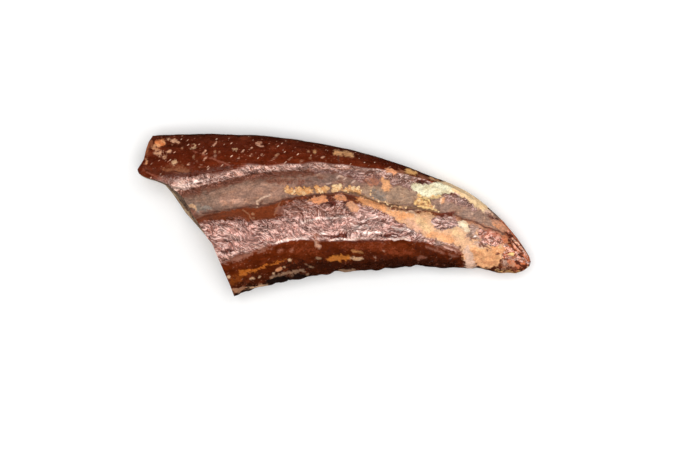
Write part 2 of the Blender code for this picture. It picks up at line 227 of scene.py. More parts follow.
LIVELIER = (6.0, 34.0, 0.92, 1.4)  # more towards the tip, by the same uneven place as the turn,
LIT_GROUND = (0.04, 0.17)  # only on ground that is light enough,
LIT_CRINKLE = (0.2, 0.7)  # and only where it is crinkled enough
# the colour of the painted highlights on the ridges
RIDGE_HIGHLIGHT_COLOUR = (255, 226, 216)
RIDGE_HIGHLIGHT_SHARE = 0.7  # share of the painted highlight colour; the rest is the polish's own colour times this gain
RIDGE_HIGHLIGHT_GAIN = (1.9, 1.9, 1.9, 1.0)
GRIT_CELLS = (0.24, 0.22, 0.22)
GRIT_SHADES = (0.86, 1.14)
GRIT_HEIGHT = 0.05  # heights are in mm
CRINKLE_HEIGHT = 0.07
PORES = 0.16
PORE_HEIGHT = 0.006
ROUGHENED = (0.3, 0.7, -0.05, 0.07)
BONE_IOR = 1.5
GLOSS = 0.4
SHEEN_TINT = (1.0, 0.85, 0.78, 1.0)

# The broken end: cortex, then spongy bone.
BREAK_RAGGED = (0.8, 4.0, 0.65)
BREAK_WANDER = 1.6  # how unevenly the cortex ends, in mm
CORTEX_ENDS = (0.88, 1.43)  # this far inside the rim, in mm
CORTEX_BLEND = (0.35, 0.65)
CORTEX_COLOURS = ((150, 104, 66), (206, 178, 142))
SPONGE_BENDS = (0.8, 0.7)
SPONGE = ((0.95, (0.2, 0.06)), (0.4, (0.24, 0.06)))  # large and small pores: (size, span of their walls)
TIGHTNESS = (2.4, 3.0, 0.6)  # where the pores are small
TIGHTENED = (0.42, 0.56)
CLOGS = (1.7, 4.0, 0.65)  # where they are filled
CLOGGED = (0.55, 0.6)
PORE_COLOURS = ((34, 18, 13), (92, 58, 42))
WALL_COLOUR = (122, 84, 60)
RUST_COLOURS = ((168, 138, 106), (128, 78, 50))
RUSTED = (0.42, 0.66)
WALL_HEIGHT = 0.12
RIM_SHADOW_COLOUR = (38, 20, 14)  # painted shadow under the upper rim
RIM_SHADOW_UNEVEN = 0.5
RIM_SHADOW_REACH = (0.95, 0.4)  # how far it reaches, in mm
BREAK_GRAIN = (0.25, 3.0, 0.7)
BREAK_SHADES = (0.75, 1.25)
BREAK_GRAIN_HEIGHT = 0.08
BREAK_ROUGHNESS = (0.3, 0.7, 0.62, 0.8)

# The loose-looking sand grains.
SAND_COLOURS = ((216, 154, 94), (240, 206, 158))
SAND_GRAIN = (0.2, 3.0, 0.7)
SAND_SHADES = (0.72, 1.25)
SAND_HEIGHT = 0.05
SAND_ROUGHNESS = (0.3, 0.7, 0.4, 0.6)

# The studio, in metres.
FLOOR_SIZE = 4.0
FLOOR_BELOW = 0.00005  # the floor lies this far under the claw, so that the two don't share a plane
FLOOR_COLOUR = (0.92, 0.92, 0.915, 1.0)
FLOOR_ROUGHNESS = 0.9
BOX_SIZE = 0.66
BOX_PLACE = (0.0, 0.0, 1.2)
BOX_POWER = 11.5  # watts
ROOM_COLOUR = (1.0, 1.0, 1.0, 1.0)
ROOM_LIGHT = 0.5
PICTURE_MIDDLE = (0.00279, -0.00306)  # what the camera looks straight down at
PICTURE_WIDTH = 0.126  # what it takes in at the height of the claw's edges
EDGE_HEIGHT = 0.0065
LENS = 280.0  # mm
SENSOR = 36.0

# The kinds of surface: colour, roughness, softness of the edge in mm and how proud it stands in mm.
KINDS = {
    "stripe": ((118, 66, 48), 0.38, 0.35, 0.0),
    "stripe_red": ((116, 68, 50), 0.4, 0.35, 0.0),
    "groove_grey": ((136, 106, 90), 0.66, 0.35, 0.0),
    "groove_rose": ((150, 112, 94), 0.62, 0.4, 0.0),
    "groove_pale": ((152, 116, 98), 0.62, 0.4, 0.0),
    "grit_dark": ((130, 99, 86), 0.72, 0.3, 0.0),
    "mauve": ((138, 98, 90), 0.37, 0.25, 0.02),
    "grey_tan": ((158, 128, 106), 0.6, 0.3, 0.0),
    "brown_mauve": ((146, 106, 96), 0.37, 0.25, 0.02),
    "tip_grey": ((150, 118, 102), 0.62, 0.25, 0.0),
    "wall": ((122, 57, 29), 0.2, 0.12, 0.0),
    "wall_light": ((156, 102, 74), 0.35, 0.12, 0.08),
    "dull_rose": ((142, 88, 72), 0.35, 0.4, 0.0),
    "peach": ((226, 176, 136), 0.5, 0.24, -0.05),
    "peach_warm": ((220, 160, 112), 0.48, 0.24, -0.04),
    "peach_deep": ((222, 150, 106), 0.5, 0.2, -0.04),
    "peach_streak": ((200, 134, 92), 0.45, 0.25, -0.03),
    "tip_rose": ((198, 120, 96), 0.34, 0.3, 0.0),
    "tip_rose_pale": ((226, 166, 142), 0.34, 0.14, 0.04),
    "tip_red": ((208, 114, 72), 0.34, 0.3, 0.0),
    "orange": ((206, 116, 62), 0.5, 0.2, -0.03),
    "orange_soft": ((234, 166, 114), 0.5, 0.3, -0.02),
    "tan_orange": ((190, 128, 88), 0.5, 0.12, 0.0),
    "corner": ((136, 74, 42), 0.4, 0.25, 0.0),
    "lip_rose": ((128, 66, 46), 0.3, 0.4, 0.0),
    "tan": ((160, 112, 82), 0.5, 0.16, 0.02),
    "tan_grey": ((196, 146, 114), 0.5, 0.18, 0.03),
    "cream_tan": ((198, 156, 120), 0.55, 0.16, 0.03),
    "cream_rose": ((214, 174, 150), 0.5, 0.2, 0.0),
    "smear": ((130, 78, 52), 0.24, 0.6, 0.0),
    # crest_pale and crest_rose: crest wear, partly a painted highlight along the crest
    "crest_pale": ((222, 182, 164), 0.3, 0.25, 0.02),
    "crest_rose": ((166, 116, 100), 0.28, 0.25, 0.02),
    "teal_grey": ((128, 114, 104), 0.7, 0.3, 0.0),
    "rose_pale": ((182, 136, 114), 0.5, 0.22, 0.02),
    "gold_bed": ((206, 152, 98), 0.6, 0.2, 0.08),
    "rose_orange": ((170, 112, 86), 0.5, 0.3, 0.0),
    "blue_grey": ((130, 116, 106), 0.6, 0.5, 0.0),
    "pale": ((226, 220, 188), 0.5, 0.16, 0.06),
    "pale_warm": ((226, 192, 134), 0.55, 0.2, 0.03),
    "maroon": ((92, 42, 32), 0.3, 0.2, 0.0),
    "olive_tan": ((198, 144, 96), 0.5, 0.25, 0.0),
    "olive_gold": ((224, 166, 98), 0.5, 0.22, 0.0),
    "brown_red": ((146, 86, 58), 0.4, 0.2, 0.0),
    "slot": ((104, 46, 30), 0.34, 0.12, -0.12),
    "oval_dark": ((176, 130, 120), 0.26, 0.16, -0.03),
    "pale_spot": ((236, 216, 186), 0.5, 0.24, 0.03),
    "rose_tan": ((192, 136, 106), 0.45, 0.3, 0.0),
    "red_orange": ((206, 96, 40), 0.35, 0.16, 0.0),
    "ochre": ((160, 104, 58), 0.5, 0.2, 0.0),
    "streak_rose": ((140, 88, 70), 0.36, 0.3, 0.0),
    "amber_dark": ((118, 54, 10), 0.25, 0.3, 0.0),
    "amber": ((170, 92, 26), 0.3, 0.16, 0.0),
    "amber_bright": ((180, 104, 34), 0.35, 0.16, 0.02),
    "ash": ((146, 110, 82), 0.5, 0.18, 0.02),
    "ash_brown": ((138, 104, 80), 0.6, 0.2, 0.04),
    # pit: dug in, and near-black as painted shade in it
    "pit": ((30, 13, 8), 0.5, 0.15, -0.3),
    "deep_red": ((92, 34, 18), 0.3, 0.2, -0.04),
    "rose_smear": ((160, 100, 78), 0.4, 0.35, 0.0),
    "fleck": ((206, 152, 124), 0.45, 0.1, 0.02),
    "scratch": ((136, 72, 52), 0.4, 0.12, -0.02),
    "crack": ((84, 44, 30), 0.6, 0.16, -0.07),
    "crack_olive": ((112, 78, 44), 0.6, 0.14, -0.07),
    "crack_red": ((112, 68, 52), 0.5, 0.16, -0.05),
    "peach_cream": ((228, 186, 138), 0.5, 0.4, 0.0),
    "peach_rose": ((222, 170, 140), 0.5, 0.4, 0.0),
    "tip_dark": ((92, 36, 16), 0.4, 0.16, -0.05),
    "gold_pale": ((238, 200, 134), 0.5, 0.14, 0.1),
    "gold_dark": ((136, 92, 48), 0.6, 0.12, -0.06),
    "rosy_line": ((198, 150, 134), 0.3, 0.12, 0.04),
    "hook_pale": ((216, 180, 156), 0.45, 0.12, 0.12),
    # glint and sheen_pale are painted highlights
    "glint": ((236, 208, 198), 0.3, 0.12, 0.03),
    "sheen_pale": ((206, 162, 150), 0.28, 0.25, 0.03),
    "film_warm": ((234, 200, 154), 0.5, 0.16, 0.05),
    "grey_rose": ((172, 134, 116), 0.4, 0.3, 0.0),
    "rose_peach": ((214, 154, 118), 0.5, 0.2, -0.02),
    "tip_orange": ((196, 116, 78), 0.4, 0.3, 0.0),
    "tip_peach": ((224, 156, 104), 0.5, 0.25, 0.0),
    "tip_brown": ((128, 68, 44), 0.4, 0.14, -0.03),
    # tip_streak is a painted highlight
    "tip_streak": ((232, 172, 140), 0.34, 0.12, 0.06),
    "peach_light": ((244, 206, 176), 0.5, 0.14, 0.06),
    "ochre_pale": ((196, 146, 90), 0.5, 0.2, 0.0),
    "band_dark": ((50, 18, 7), 0.22, 1.2, 0.0),
    "band_warm": ((120, 50, 21), 0.3, 1.0, 0.0),
    "band_deep": ((70, 25, 10), 0.24, 0.9, 0.0),
    "back_dark": ((84, 34, 17), 0.3, 0.4, 0.0),
    # a painted highlight in the groove
    "groove_light": ((196, 164, 148), 0.5, 0.12, 0.04),
    # darker breaks in the painted sheen and highlights
    "sheen_dark": ((118, 70, 58), 0.3, 0.3, -0.03),
}

# The markings of the upper side, in the order they are laid. Each is a kind of surface and one or more spines
# of (x, y, half width) points. A point without a half width has that of the point before.
WIDE_MARKS = (
    # stripe under the crest
    ("stripe", ((-28.5, 3.8, 0.54), (-24.2, 4.8), (-19.9, 5.8), (-15.2, 6.8), (-10.7, 7.5, 0.45),
      (-6.2, 7.6, 0.36), (-2.6, 7.6))),
    # groove fill
    ("groove_grey", ((-26.4, 2.3, 0.72), (-23.8, 2.3, 1.26), (-20.2, 3.2, 1.62), (-16.1, 4.1, 1.8))),
    ("groove_rose", ((-19.5, 2.9, 1.26), (-15.2, 3.6, 1.62), (-10.2, 4.5), (-6.9, 5.2, 1.26))),
    ("grit_dark", ((-6.2, 6.1, 0.9), (-3.0, 6.3, 1.44), (1.0, 6.3), (3.7, 5.9, 1.26))),
    ("mauve", ((-3.7, 7.8, 0.4), (-0.8, 7.8, 0.47), (2.1, 7.7, 0.72), (4.6, 7.0, 1.08), (7.1, 6.5, 0.9),
      (9.6, 6.1, 0.72), (11.8, 5.8, 0.54))),
    ("grey_tan", ((5.7, 4.5, 0.9), (8.9, 3.8, 1.44), (12.5, 3.4), (14.7, 3.2, 0.9))),
    ("brown_mauve", ((11.1, 6.3, 0.72), (12.9, 5.8, 0.9), (14.1, 5.4, 0.72))),
    # tip groove
    ("tip_grey", ((18.6, 2.2, 1.26), (21.7, 1.6, 1.62), (24.8, 0.5, 1.44), (27.6, -0.9, 1.08),
      (29.8, -2.5, 0.72))),
    ("brown_mauve", ((20.1, 3.2, 0.54), (22.6, 2.5, 0.72), (25.1, 1.3, 0.54))),
    # wall
    ("wall", ((-23.3, -0.7, 0.45), (-20.6, -0.2, 0.63), (-17.7, 0.1, 0.9), (-14.8, 0.2, 1.08), (-12.0, 0.5),
      (-10.5, 1.3, 0.63), (-9.3, 2.3, 0.4), (-6.9, 3.0, 0.29), (-4.0, 3.5, 0.25))),
    # bulge shoulder
    ("dull_rose", ((-9.6, 1.0, 0.86), (-6.8, 1.3, 1.33), (-3.0, 1.3, 1.48), (0.6, 1.2, 1.3),
      (2.8, 0.9, 0.79))),
    # sheen
    ("streak_rose", ((-19.5, -8.2, 0.4), (-16.6, -7.5), (-14.1, -6.6, 0.36), (-11.2, -5.7, 0.29))),
    # worn peach area
    ("peach", ((8.9, 1.0, 0.54), (11.1, 0.2, 0.9), (13.6, -0.5, 1.44), (16.8, -1.6, 1.98), (20.1, -3.1),
      (22.9, -3.8, 1.62), (25.1, -3.8, 1.44)),
     ((19.0, -4.0, 1.08), (21.9, -5.0, 0.9), (24.4, -5.9), (27.3, -6.7, 1.44), (29.1, -7.4, 1.62))),
    # tip
    ("tip_grey", ((26.9, 1.4, 0.54), (28.7, 0.0, 0.61), (30.3, -1.5), (31.4, -2.6, 0.47))),
    ("tip_red", ((30.1, -1.3, 0.54), (31.4, -2.9, 0.72), (32.7, -4.7, 0.9), (34.1, -6.5),
      (35.0, -7.7, 0.72))),
    # worn peach area
    ("peach_warm", ((24.4, -7.4, 1.44), (26.6, -7.7, 1.8), (28.3, -8.1, 1.62), (29.2, -8.5, 1.08))),
    # tip groove
    ("rose_tan", ((22.2, -0.6, 0.43), (24.4, -1.2, 0.47), (26.9, -2.2, 0.54), (29.1, -3.0),
      (30.3, -3.5, 0.43))),
    ("tip_rose", ((26.9, -3.4, 0.9), (28.7, -4.1, 1.26), (30.1, -5.0, 1.08))),
    ("tip_red", ((31.2, -6.3, 1.08), (32.3, -7.7, 1.44), (33.6, -8.5, 1.26))),
)
PATCH_MARKS = (
    # orange spot
    ("orange", ((-31.9, 12.9, 0.5), (-31.0, 13.1, 0.68))),
    ("tan_orange", ((-32.5, 12.2, 0.2), (-31.8, 12.0))),
    # broken corner
    ("corner", ((-33.2, 13.1, 0.43), (-33.5, 11.7, 0.5), (-33.8, 11.0, 0.27))),
    # back streak, back spot
    ("tan_grey", ((-29.8, 13.8, 0.14), (-28.9, 13.5, 0.27), (-27.5, 13.1, 0.16)),
     ((-31.9, 11.2, 0.31), (-31.1, 11.1, 0.38)), ((-30.3, 10.3, 0.27),),
     ((-29.9, 11.4, 0.25), (-29.4, 11.6))),
    ("cream_tan", ((-28.5, 9.6, 0.47),), ((-25.4, 12.2, 0.32), (-25.0, 12.4)),
     ((-17.9, 11.9, 0.29), (-17.6, 11.8))),
    # grey smear
    ("smear", ((-30.0, 7.7, 0.72), (-28.2, 7.9, 0.9), (-26.7, 7.9, 0.72))),
    # crest wear, with a painted highlight along it
    ("crest_pale", ((-28.3, 5.0, 0.47), (-26.7, 5.5, 0.65), (-24.2, 6.0, 0.54), (-22.1, 6.4, 0.4))),
    ("crest_rose", ((-26.4, 5.9, 0.45), (-23.3, 6.4, 0.65), (-19.9, 6.9, 0.67), (-16.3, 7.6, 0.54),
      (-12.7, 8.4, 0.47), (-8.0, 8.5, 0.43), (-3.0, 8.6, 0.4), (1.0, 8.5, 0.34), (3.9, 8.2, 0.31),
      (6.8, 7.7, 0.29), (10.0, 7.0), (13.2, 6.6, 0.27), (16.5, 5.9, 0.23))),
    ("stripe", ((-17.0, 7.1, 0.16), (-13.0, 7.6), (-9.4, 7.7))),
    # groove
    ("stripe_red", ((-12.0, 6.1, 0.36), (-9.1, 6.0, 0.4), (-5.5, 5.9, 0.36))),
    ("stripe", ((-13.0, 7.0, 0.27), (-8.9, 7.2, 0.29), (-4.0, 7.2, 0.25))),
    ("teal_grey", ((-25.6, 1.7, 0.45), (-24.6, 1.3, 0.54), (-23.3, 1.3), (-22.2, 1.3, 0.36))),
    ("cream_tan", ((-25.6, 1.6, 0.4), (-24.9, 1.3, 0.29))),
    ("groove_pale", ((-21.3, 4.0, 0.36), (-17.7, 4.7, 0.43), (-13.8, 5.2), (-10.5, 5.5, 0.29))),
    # gold bed
    ("gold_bed", ((-8.6, 4.5, 0.29), (-7.6, 4.3, 0.4)),
     ((-6.4, 4.1, 0.54), (-5.1, 4.2, 0.68), (-4.1, 4.2, 0.5)), ((-2.8, 4.4, 0.5), (-1.5, 4.5, 0.43)),
     ((0.0, 4.7, 0.47), (1.1, 4.7, 0.5)), ((2.1, 4.5, 0.36), (3.5, 4.5, 0.38), (4.7, 4.1, 0.23))),
    # peach blob in the groove
    ("peach_warm", ((8.7, 6.3, 0.54), (9.3, 5.6, 0.79), (9.6, 4.8, 0.54))),
    # rosy orange by it
    ("rose_orange", ((6.0, 6.1, 0.47), (7.3, 5.8, 0.5))),
    # blue grey shade
    ("blue_grey", ((7.1, 3.8, 0.63), (8.5, 3.2, 0.72))),
    # maroon over the film
    ("maroon", ((14.8, 6.2, 0.32), (15.9, 5.8, 0.34), (17.0, 5.7, 0.22))),
    # back
    ("olive_tan", ((0.3, 11.4, 0.4), (1.7, 11.2, 0.5), (3.3, 10.9, 0.32))),
    ("peach_deep", ((9.7, 8.0, 0.5), (10.7, 7.8, 0.54))),
    ("brown_red", ((11.8, 7.9, 0.47), (12.3, 7.4, 0.43))),
    ("olive_gold", ((13.2, 7.9, 0.54), (14.3, 7.6, 0.61))),
    ("brown_red", ((15.6, 7.1, 0.47), (16.6, 6.7, 0.4))),
    ("olive_tan", ((17.7, 6.5, 0.47), (18.8, 6.1, 0.4))),
    # orange patch by the wall
    ("peach_deep", ((-4.0, 2.8, 0.5), (-2.6, 2.6, 0.79), (-1.6, 3.0, 0.54))),
    # maroon gap
    ("maroon", ((-0.8, 2.9, 0.47), (-0.3, 1.8, 0.54))),
    # orange patch 2
    ("peach_deep", ((0.4, 3.1, 0.43), (1.7, 3.0, 0.47))),
    # orange patch 3
    ("orange_soft", ((4.8, 3.0, 0.5), (5.8, 2.4, 0.86), (7.1, 1.8, 0.76), (8.7, 1.1, 0.54))),
    # cream patch, cream
    ("cream_rose", ((25.5, -5.0, 0.47), (26.7, -5.4, 0.43)),
     ((23.8, -6.0, 0.47), (24.1, -7.2, 0.86), (24.4, -8.3, 1.04), (24.6, -9.2, 0.79))),
    # lower tip
    ("peach_streak", ((25.1, -6.7, 0.22), (26.9, -7.4, 0.23), (28.7, -7.6, 0.22)),
     ((25.5, -8.1, 0.2), (27.3, -8.6, 0.23), (29.2, -8.9, 0.18))),
    # belly edge
    ("cream_tan", ((24.2, -9.9, 0.32), (26.2, -10.0, 0.25))),
    # rose streaks, rose streaks 2
    ("streak_rose", ((18.6, -5.0, 0.25), (20.1, -5.5, 0.36), (21.9, -6.1, 0.32), (22.9, -6.7, 0.22)),
     ((16.1, -4.6, 0.18), (17.6, -5.0, 0.22), (19.7, -6.0, 0.16))),
    # amber wedge
    ("amber_dark", ((-18.6, -12.0, 0.61), (-17.4, -11.3), (-16.3, -10.6, 0.43))),
    # amber wedge, amber line
    ("amber", ((-16.5, -10.3, 0.4), (-15.2, -10.0), (-13.9, -9.8, 0.29)),
     ((-13.9, -9.8, 0.16), (-12.3, -9.2, 0.14), (-10.3, -8.6, 0.18), (-8.4, -7.8, 0.22))),
    # amber patch
    ("amber_bright", ((-1.0, -7.8, 0.32), (0.3, -7.7, 0.54), (2.1, -7.6, 0.47), (2.8, -7.7, 0.36))),
    # grey by the amber
    ("cream_tan", ((3.3, -7.7, 0.29), (4.0, -7.8, 0.43), (5.0, -7.6, 0.32))),
    # belly
    ("ash_brown", ((-11.2, -11.3, 0.22), (-9.1, -10.7, 0.32), (-6.6, -10.2, 0.34), (-5.1, -9.9, 0.18))),
    # pits along the belly edge, their near-black a painted shade
    ("pit", ((-11.6, -11.9, 0.29), (-10.2, -11.8, 0.5), (-8.2, -11.6, 0.4)),
     ((-6.8, -11.1, 0.29), (-5.3, -10.8))),
    ("cream_tan", ((-15.0, -13.0, 0.29), (-13.4, -12.6, 0.43), (-12.0, -12.4, 0.25))),
    ("tan", ((-18.1, -13.5, 0.4), (-17.0, -13.3, 0.36), (-15.8, -13.1, 0.25))),
    ("ash", ((1.2, -10.0, 0.32), (2.8, -10.1, 0.4), (4.2, -10.0, 0.25))),
    # sheen gap
    ("deep_red", ((-0.4, -3.9, 0.29), (1.0, -3.7, 0.36), (2.6, -3.9, 0.25)),
     ((8.9, -3.5, 0.23), (10.3, -3.6, 0.32), (11.6, -3.8, 0.22))),
    # rose smear
    ("rose_smear", ((-3.7, -3.1, 0.32), (-3.3, -4.1, 0.4), (-3.1, -4.9, 0.29))),
    # sheen: painted highlights, and darker breaks in them
    ("sheen_pale", ((-10.0, -4.6, 0.14), (-8.7, -4.2, 0.2), (-6.9, -4.1, 0.22), (-5.5, -4.0),
      (-4.2, -3.7, 0.16)),
     ((-2.6, -0.5, 0.18), (-0.1, -0.4, 0.2), (2.8, -0.3, 0.18), (5.0, 0.1), (7.1, 0.1, 0.16),
      (9.6, -0.6, 0.14)),
     ((-0.3, -2.6, 0.14), (1.7, -2.8, 0.18), (3.9, -2.6), (6.0, -2.4), (7.8, -2.1), (9.1, -1.7, 0.16)),
     ((2.4, -4.2, 0.16), (4.6, -4.3, 0.18), (6.8, -3.9, 0.22), (8.9, -4.1, 0.18), (11.4, -3.9, 0.16),
      (13.6, -4.0, 0.14)), ((6.6, -2.7, 0.27), (7.3, -3.0, 0.23)),
     ((10.9, -2.4, 0.18), (12.5, -2.3, 0.2), (14.1, -2.6, 0.16)), ((-6.0, -1.3, 0.22), (-4.8, -1.1, 0.25)),
     ((-2.4, -3.0, 0.29), (-1.2, -3.1, 0.25)),
     ((-23.3, -3.7, 0.16), (-22.2, -5.0, 0.22), (-21.3, -6.3, 0.18)),
     ((-21.0, -1.3, 0.18), (-20.2, -2.3, 0.23), (-19.7, -3.4, 0.18)),
     ((-19.9, -1.0, 0.25), (-18.4, -1.4, 0.22), (-17.0, -2.1, 0.18)),
     ((-12.3, -2.5, 0.22), (-10.5, -2.9, 0.25))),
    ("sheen_dark", ((-14.8, -1.3, 0.16), (-13.4, -2.0, 0.18), (-12.0, -2.3, 0.14)),
     ((-5.7, -2.3, 0.18), (-4.4, -2.6, 0.22)),
     ((-19.5, -4.6, 0.25), (-17.0, -4.4, 0.29), (-15.6, -4.7, 0.22)),
     ((4.6, -1.4, 0.22), (6.4, -1.6, 0.18), (9.6, -1.0, 0.23), (11.1, -1.3, 0.18))),
    # lip
    ("lip_rose", ((-33.9, 8.3, 0.32), (-32.1, 7.4, 0.29), (-30.3, 6.5, 0.22))),
    # groove
    ("rose_pale", ((-20.2, 2.2, 0.32), (-17.7, 2.5, 0.36), (-15.6, 2.8, 0.25))),
    # peach
    ("orange_soft", ((10.3, 0.5, 0.47), (12.2, 0.0, 0.54), (13.9, -0.2, 0.47)),
     ((17.2, -3.2, 0.54), (19.3, -3.8, 0.65), (21.1, -4.5, 0.47))),
    ("peach_rose", ((12.9, -0.9, 0.4), (14.3, -2.0, 0.58), (15.8, -3.1, 0.47))),
    # gold swirl bed
    ("gold_bed", ((15.0, 2.6, 0.47), (16.1, 2.2, 0.76), (17.2, 1.6, 0.54))),
    # base
    ("sheen_dark", ((-23.7, -1.7, 0.2), (-22.2, -2.4, 0.29), (-20.8, -3.2, 0.2)),
     ((-23.3, -1.1, 0.18), (-22.1, -1.7, 0.23), (-21.3, -2.5, 0.18))),
    ("deep_red", ((-19.9, -6.6, 0.22), (-18.6, -6.4, 0.25), (-17.4, -6.2, 0.16))),
    # pale film
    ("pale", ((14.4, 5.4, 0.43), (14.9, 4.8, 0.76), (16.5, 4.6, 1.01), (18.4, 4.7, 1.12), (20.1, 4.9, 0.94),
      (21.5, 4.6, 0.65))),
    ("film_warm", ((21.5, 4.8, 0.61), (22.9, 4.1, 0.7), (24.4, 3.2, 0.74), (25.8, 2.2, 0.72),
      (26.9, 1.3, 0.58), (27.6, 0.6, 0.29)),
     ((19.7, 5.8, 0.54), (21.9, 5.2, 0.76), (24.0, 4.1, 0.79), (25.8, 3.0, 0.76), (27.3, 1.7, 0.58))),
    ("pale_warm", ((15.2, 3.7, 0.22), (16.6, 3.3, 0.23), (17.9, 3.2, 0.25), (19.0, 3.5, 0.22))),
    ("cream_rose", ((27.4, 0.6, 0.36), (28.2, 0.1, 0.29))),
    # dark slot
    ("slot", ((18.3, -0.2, 0.16), (19.5, 0.1, 0.27), (20.8, 0.3, 0.34), (21.7, 0.3, 0.31))),
    # dark oval
    ("oval_dark", ((18.6, -1.1, 0.94), (19.9, -1.4, 1.3), (21.0, -1.3, 1.15))),
    # pale spot
    ("pale_spot", ((22.9, -1.4, 0.58), (23.4, -1.9, 0.76), (23.7, -2.5, 0.43))),
    # grey patch
    ("grey_rose", ((25.1, -2.0, 0.58), (24.8, -2.9, 0.72), (24.6, -3.7, 0.65), (25.6, -3.9, 0.54))),
    ("tip_grey", ((24.3, -3.3, 0.29), (24.9, -4.0))),
    # peach
    ("peach_cream", ((15.2, -0.9, 0.54), (16.1, -1.8, 0.83), (17.0, -2.6, 0.54)),
     ((21.7, -3.0, 0.47), (22.9, -3.9, 0.54))),
    ("orange_soft", ((9.6, 0.5, 0.36), (11.1, 0.1, 0.5), (12.2, -0.3, 0.4))),
    # rosy peach patch
    ("rose_peach", ((2.8, 2.1, 0.58), (3.5, 1.4, 0.79), (3.9, 0.8, 0.47))),
    # maroon gap 2
    ("maroon", ((2.4, 3.3, 0.32), (3.0, 3.3, 0.36), (3.7, 3.1, 0.29))),
    # tip
    ("rose_tan", ((28.7, -0.8, 0.43), (29.6, -1.5, 0.61), (30.5, -2.3, 0.47), (31.0, -2.8, 0.29))),
    ("peach_deep", ((28.9, -1.7, 0.31), (29.5, -2.0, 0.27))),
    ("tip_dark", ((30.8, -3.0, 0.23), (31.5, -3.5, 0.43), (32.1, -4.1, 0.32), (32.8, -4.6, 0.18)),
     ((31.1, -4.1, 0.22), (31.7, -4.6, 0.25))),
    ("tip_orange", ((30.3, -3.5, 0.32), (30.8, -4.2, 0.43), (30.6, -5.0, 0.4))),
    ("tip_peach", ((28.7, -5.9, 0.4), (29.6, -5.8, 0.5), (30.4, -6.2, 0.43)),
     ((28.6, -6.8, 0.36), (29.8, -6.8, 0.29))),
    ("peach_cream", ((29.7, -5.7, 0.27), (30.1, -5.3, 0.18)), ((25.8, -6.0, 0.18), (26.7, -6.0))),
    ("amber_bright", ((30.6, -6.5, 0.23), (31.0, -6.4, 0.18))),
    ("tip_peach", ((31.2, -4.8, 0.22),)),
    ("red_orange", ((30.5, -7.0, 0.2), (30.9, -6.9))),
    ("gold_pale", ((31.6, -7.1, 0.29), (32.1, -6.9, 0.25))),
    ("tip_brown", ((29.1, -7.1, 0.23), (29.5, -6.9, 0.18)), ((27.7, -6.3, 0.18), (28.2, -6.1, 0.16)),
     ((28.8, -5.5, 0.16),), ((26.2, -4.7, 0.16), (26.9, -5.5, 0.18), (27.6, -5.9, 0.16))),
    ("tip_dark", ((31.0, -7.7, 0.18), (30.3, -7.7, 0.23), (30.0, -8.5, 0.25), (29.8, -9.2, 0.32))),
    ("grey_rose", ((30.6, -8.2, 0.31), (30.9, -8.7, 0.32))),
    ("rose_tan", ((31.8, -8.6, 0.5), (32.3, -9.0, 0.4)), ((30.4, -9.6, 0.18), (31.0, -9.6, 0.16))),
    ("tip_brown", ((31.4, -9.7, 0.16), (32.1, -9.6, 0.2), (32.9, -9.7, 0.16))),
    ("tip_dark", ((32.9, -8.4, 0.23), (33.6, -8.9, 0.4), (34.5, -9.2, 0.36)),
     ((33.5, -6.9, 0.25), (34.0, -7.5, 0.23))),
    ("tip_rose_pale", ((32.5, -8.1, 0.16), (33.2, -7.8, 0.2), (33.9, -8.0, 0.16)),
     ((31.3, -7.6, 0.16), (32.1, -8.1)), ((32.9, -6.6, 0.16), (33.4, -7.1, 0.14)),
     ((31.0, -5.6, 0.18), (31.6, -6.2, 0.16))),
    # belly edge
    ("ochre_pale", ((29.4, -10.1, 0.22), (31.2, -10.3, 0.27), (33.2, -10.3, 0.25))),
    ("tip_brown", ((30.4, -10.0, 0.18), (30.7, -10.2))),
    # lower band
    ("band_warm", ((-7.3, -5.8, 0.4), (-5.5, -6.1, 0.47), (-3.3, -6.4, 0.32)),
     ((1.7, -5.7, 0.29), (5.0, -5.6, 0.4), (8.2, -5.5, 0.29)),
     ((9.3, -6.4, 0.29), (11.8, -6.6, 0.4), (13.9, -6.7, 0.29))),
    ("band_deep", ((-1.5, -6.0, 0.25), (0.3, -6.5, 0.32), (2.2, -6.6, 0.22)),
     ((6.0, -6.8, 0.25), (7.8, -7.3, 0.32), (10.3, -7.6, 0.25)),
     ((14.3, -5.7, 0.25), (16.1, -6.2, 0.36), (17.9, -7.0, 0.29))),
    ("band_dark", ((-9.1, -9.4, 0.61), (-5.5, -9.1, 0.83), (-1.2, -9.1), (3.1, -8.9, 0.65), (8.2, -8.6, 0.76),
      (13.6, -8.4, 0.79), (18.3, -8.4, 0.76), (21.1, -8.5, 0.58))),
    # back
    ("back_dark", ((-33.2, 7.9, 0.43), (-30.3, 7.4, 0.5), (-27.8, 7.1, 0.58), (-24.9, 7.4, 0.47),
      (-22.1, 8.0, 0.36), (-18.4, 8.6, 0.25))),
)
